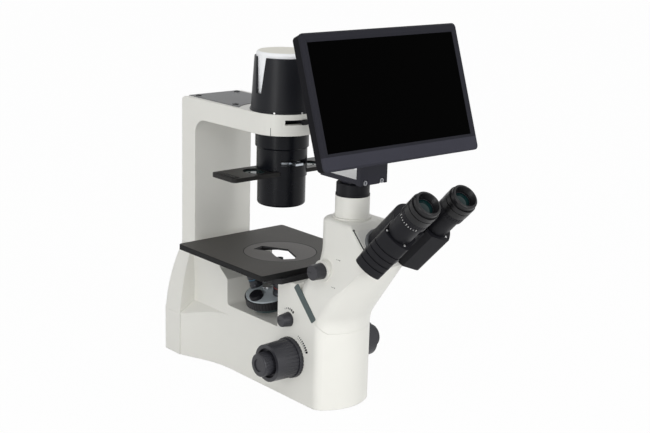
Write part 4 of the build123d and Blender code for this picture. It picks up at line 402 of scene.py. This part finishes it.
def add_eye_details():
    """Coated lenses, lens rings, dioptre marks and housing screws on both eyepieces."""
    for word, side in (("left", -1), ("right", 1)):
        tube = eye_frame(side)
        lens = bmesh.new()
        add_turned(lens, tube, [(0, 139.4), (4, 139.2), (8, 138.5), (11.4, 137.3), (11.4, 134), (0, 134)])
        finish_piece("eye_lens_" + word, lens, LENS, word + "_eye")
        ring = bmesh.new()
        add_turned(ring, tube, [(11.3, 135), (11.3, 138.2), (11.7, 138.6), (12.4, 138.6), (12.4, 135),
                                (11.3, 135)])
        finish_piece("lens_ring_" + word, ring, BLACK, word + "_eye")
        marks = bmesh.new()
        for k in range(-4, 5):
            length = 3.4 if k % 4 == 0 else 2.0
            round_tube = tube @ spin((TUBE_MARK_TURN - SWING_ANGLE) * side + 11 * k)
            tick = round_tube @ shift(TUBE_MARK_R, 0, TUBE_MARK_UP + length / 2)
            tick = tick @ Matrix.Rotation(math.radians(90), 4, "Y")
            add_bar(marks, tick, length, 0.6, 0.12)
        finish_piece("dioptre_marks_" + word, marks, MARK, word + "_diopter")
        screws = bmesh.new()
        for across in (-14.8, 14.8):
            add_screw(screws, tube @ shift(13, across, HOUSING_TOP), 1.7, 0.7)
        finish_piece("housing_screws_" + word, screws, STEEL, word + "_eye")


def add_objective_bands():
    """Coloured magnification rings in the objectives' grooves, and front lenses."""
    for number, port, length in OBJECTIVES:
        place = port_frame(port)
        low, high = length * 0.345, length * 0.395
        band = bmesh.new()
        add_turned(band, place, [(8.75, low), (9.3, low + 0.3), (9.3, high - 0.3), (8.75, high), (8.75, low)])
        finish_piece("objective_band_%d" % number, band, BANDS[number - 1], "turret")
        lens = bmesh.new()
        add_turned(lens, place, [(0, length + 0.1), (2.2, length - 0.2), (3.45, length - 0.8),
                                 (3.45, length - 3), (0, length - 3)], 32)
        finish_piece("objective_lens_%d" % number, lens, LENS, "turret")


def add_dial_marks():
    """Printed wedges of growing ticks round the dimmer and the tension ring."""
    marks = bmesh.new()
    wall = spot((BASE_SIDE, DIMMER[0], DIMMER[1]), (-1, 0, 0), (0, -1, 0))
    for k in range(6):
        add_bar(marks, wall @ spin(124 - 14 * k) @ shift(15.9, 0), 2.2 + 0.5 * k, 1.0 + 0.45 * k, 0.08)
    finish_piece("light_marks", marks, INK_AND_GAP_SHADOW, "frame")
    marks = bmesh.new()
    wall = spot((BASE_SIDE, FOCUS[0], FOCUS[1]), (-1, 0, 0), (0, -1, 0))
    for k in range(9):
        add_bar(marks, wall @ spin(66 - 5 * k) @ shift(39.2, 0), 2.4 + 0.4 * k, 1.2 + 0.22 * k, 0.08)
    for k in range(20):
        add_bar(marks, wall @ spin(68 - 2.1 * k) @ shift(35.2, 0) @ spin(90), 1.5, 0.4, 0.06)
    finish_piece("tension_marks", marks, INK_AND_GAP_SHADOW, "frame")


def add_insert_gap_shadow():
    """Painted shadow of the gap where the round insert meets the stage: a thin dark ring."""
    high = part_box("stage_insert")[1]
    ring = bmesh.new()
    place = spot((0, 0, high.z / MM), (0, 0, 1), (1, 0, 0))
    add_turned(ring, place, [(GAP_SHADOW_IN, 0), (GAP_SHADOW_IN + 0.1, 0.05), (GAP_SHADOW_OUT - 0.05, 0.05), (GAP_SHADOW_OUT, 0),
                             (GAP_SHADOW_OUT, -0.4), (GAP_SHADOW_IN, -0.4), (GAP_SHADOW_IN, 0)], 128)
    finish_piece("insert_line", ring, INK_AND_GAP_SHADOW, "insert")


def add_plate_gap_shadows():
    """Painted shadow of the gap down each side of the hub's plate, a thin dark bar, with a small screw at its
    top.
    """
    face = face_frame()
    lines = bmesh.new()
    for side in (-1, 1):
        add_bar(lines, face @ shift(side * PLATE_SIDE, 10.0, -0.6) @ spin(90), 44, 1.2, 1.0)
        add_screw(lines, face @ shift(side * 31.6, 33.5, -0.6), 1.5, 1.2)
    finish_piece("face_lines", lines, INK_AND_GAP_SHADOW, "frame")


def add_selector_marks():
    """Two small light path marks, laid on the head's wall beside the selector knob."""
    graph = bpy.context.evaluated_depsgraph_get()
    wall = BVHTree.FromObject(NODES["head_casting"], graph)
    marks = bmesh.new()
    for y, z in ((-171.5, 229.0), (-173.0, 192.0)):
        for k in range(3):
            start = at(-120, y - 3.0 * k, z)
            point, normal, _, _ = wall.ray_cast(start, Vector((1, 0, 0)))
            turn = normal.to_track_quat("Z", "Y").to_matrix().to_4x4()
            place = Matrix.Translation(point) @ turn @ Matrix.Scale(MM, 4)
            add_bar(marks, place, 1.2 + 0.6 * k, 0.9, 0.08)
    finish_piece("selector_marks", marks, INK_AND_GAP_SHADOW, "frame")


def add_frame_details():
    """Screws round the lamp house, the index line under it and the screws of the bottom plate."""
    screws = bmesh.new()
    for angle in (-143, -93.6, -43, 37, 90, 143):
        way = (math.cos(math.radians(angle)), math.sin(math.radians(angle)), 0)
        place = spot((LAMP_FOOT_R * way[0], LAMP_FOOT_R * way[1], LAMP_SCREW_Z), way, (0, 0, 1))
        add_screw(screws, place, 1.5, 0.9)
    finish_piece("lamp_house_screws", screws, STEEL, "frame")
    line = bmesh.new()
    angle = math.radians(-149)
    way = (math.cos(angle), math.sin(angle), 0)
    place = spot((ARM_END_R * way[0], ARM_END_R * way[1], 382.8), way, (0, 0, 1))
    add_bar(line, place, 11.6, 0.7, 0.1)
    finish_piece("arm_index_line", line, INK_AND_GAP_SHADOW, "frame")
    screws = bmesh.new()
    for x, y in ((-40, -105), (40, -105), (-40, 20), (40, 20), (-62, 150), (62, 150)):
        add_screw(screws, spot((x, y, BOTTOM_Z), (0, 0, -1), (1, 0, 0)), 3.2, 1.6)
    finish_piece("bottom_screws", screws, STEEL, "frame")


def add_screen_details():
    """Louvres and screws on the back of the screen."""
    out = (0, math.cos(SCREEN_LEAN), -math.sin(SCREEN_LEAN))
    back = spot((0, SCREEN_Y, SCREEN_Z), out, (-1, 0, 0))
    louvres = bmesh.new()
    for column in (-32, 32):
        for row in range(6):
            add_bar(louvres, back @ shift(column, 18 + 4.2 * row, SCREEN_LOUVRE), 46, 2.0, 0.8)
    finish_piece("screen_louvres", louvres, BLACK, "screen")
    screws = bmesh.new()
    for x in (-118, 118):
        for y in (-68, 68):
            add_screw(screws, back @ shift(x, y, SCREEN_BACK), 3.0, 1.0)
    finish_piece("screen_screws", screws, STEEL, "screen")


def add_slider_grips():
    """Finger ridges across both ends of the phase slider."""
    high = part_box("phase_slider")[1]
    grips = bmesh.new()
    for end in (-1, 1):
        for k in range(5):
            x = end * (high.x / MM - 3.0 - 2.4 * k)
            place = spot((x, 0, high.z / MM), (0, 0, 1), (0, 1, 0))
            add_bar(grips, place, 46, 1.3, 0.9)
    finish_piece("slider_grips", grips, SLIDER, "slider")


def show_plain(nodes, links, lit, plain, output):
    """Show the plain colour to the camera, in reflections and through glass, and the lit one elsewhere."""
    path = nodes.new("ShaderNodeLightPath")
    seen = path.outputs["Is Camera Ray"]
    for ray in ("Is Glossy Ray", "Is Transmission Ray"):
        either = nodes.new("ShaderNodeMath")
        either.operation = "MAXIMUM"
        links.new(seen, either.inputs[0])
        links.new(path.outputs[ray], either.inputs[1])
        seen = either.outputs["Value"]
    mix = nodes.new("ShaderNodeMixShader")
    links.new(lit, mix.inputs[1])
    links.new(plain, mix.inputs[2])
    links.new(mix.outputs["Shader"], output)
    return seen, mix.inputs["Fac"]


def add_floor():
    """A pale floor that keeps a faint shadow; the object stands on plain white."""
    mesh = bpy.data.meshes.new("floor")
    half = 14.0
    corners = [(-half, -half, 0), (half, -half, 0), (half, half, 0), (-half, half, 0)]
    mesh.from_pydata(corners, [], [(0, 1, 2, 3)])
    floor = bpy.data.objects.new("floor", mesh)
    bpy.context.scene.collection.objects.link(floor)
    mat = bpy.data.materials.new("floor_white")
    mat.use_nodes = True
    nodes, links = mat.node_tree.nodes, mat.node_tree.links
    shader = nodes["Principled BSDF"]
    shader.inputs["Base Color"].default_value = (0.8, 0.8, 0.8, 1)
    shader.inputs["Roughness"].default_value = 0.9
    plain = nodes.new("ShaderNodeEmission")
    plain.inputs["Color"].default_value = (1, 1, 1, 1)
    plain.inputs["Strength"].default_value = 1.0
    seen, fac = show_plain(nodes, links, shader.outputs["BSDF"], plain.outputs["Emission"],
                           nodes["Material Output"].inputs["Surface"])
    most = nodes.new("ShaderNodeMath")
    most.operation = "MULTIPLY"
    most.inputs[1].default_value = 0.975
    links.new(seen, most.inputs[0])
    links.new(most.outputs["Value"], fac)
    mesh.materials.append(mat)


def add_light(name, place, target, size, power):
    """A rectangular soft light, aimed at a target."""
    lamp = bpy.data.lights.new(name, "AREA")
    lamp.shape = "RECTANGLE"
    lamp.size = size[0]
    lamp.size_y = size[1]
    lamp.energy = power
    holder = bpy.data.objects.new(name, lamp)
    holder.location = place
    holder.rotation_euler = (Vector(target) - Vector(place)).to_track_quat("-Z", "Y").to_euler()
    bpy.context.scene.collection.objects.link(holder)


def add_world():
    """White to the camera and in reflections, soft grey light to everything else."""
    world = bpy.data.worlds.new("studio")
    bpy.context.scene.world = world
    world.use_nodes = True
    nodes, links = world.node_tree.nodes, world.node_tree.links
    plain = nodes["Background"]
    plain.inputs["Color"].default_value = (1, 1, 1, 1)
    plain.inputs["Strength"].default_value = 1.0
    soft = nodes.new("ShaderNodeBackground")
    soft.inputs["Color"].default_value = (0.97, 0.98, 1.0, 1)
    soft.inputs["Strength"].default_value = 0.5
    seen, fac = show_plain(nodes, links, soft.outputs["Background"], plain.outputs["Background"],
                           nodes["World Output"].inputs["Surface"])
    links.new(seen, fac)


def add_camera():
    """The photograph's camera: turned 40.7 degrees to the left, 14.5 up, with a slight roll."""
    turn, lift, roll = (math.radians(v) for v in (-40.716, 14.492, 1.589))
    right = Vector((math.cos(turn), math.sin(turn), 0))
    back = Vector((math.sin(turn) * math.cos(lift), -math.cos(turn) * math.cos(lift), math.sin(lift)))
    up = back.cross(right)
    across = right * math.cos(roll) + up * math.sin(roll)
    above = up * math.cos(roll) - right * math.sin(roll)
    camera = bpy.data.cameras.new("camera")
    camera.sensor_width = 36
    camera.lens = 71.67
    camera.clip_end = 50
    holder = bpy.data.objects.new("camera", camera)
    columns = Matrix((across, above, back)).transposed()
    holder.matrix_world = Matrix.Translation(at(-1158.36, -1446.24, 728.14)) @ columns.to_4x4()
    bpy.context.scene.collection.objects.link(holder)
    bpy.context.scene.camera = holder


add_eye_details()
add_objective_bands()
add_dial_marks()
add_insert_gap_shadow()
add_plate_gap_shadows()
add_selector_marks()
add_frame_details()
add_screen_details()
add_slider_grips()
add_floor()
add_world()
add_light("key", (-1.6, -1.4, 2.2), (0, 0, 0.25), (1.6, 1.6), 12)
add_light("front", (0.2, -2.6, 1.0), (0, 0, 0.3), (0.3, 1.8), 28)
add_light("left", (-2.4, -0.85, 0.45), (0, 0, 0.1), (0.25, 1.4), 19)
add_camera()
bpy.context.scene.view_settings.view_transform = "Standard"
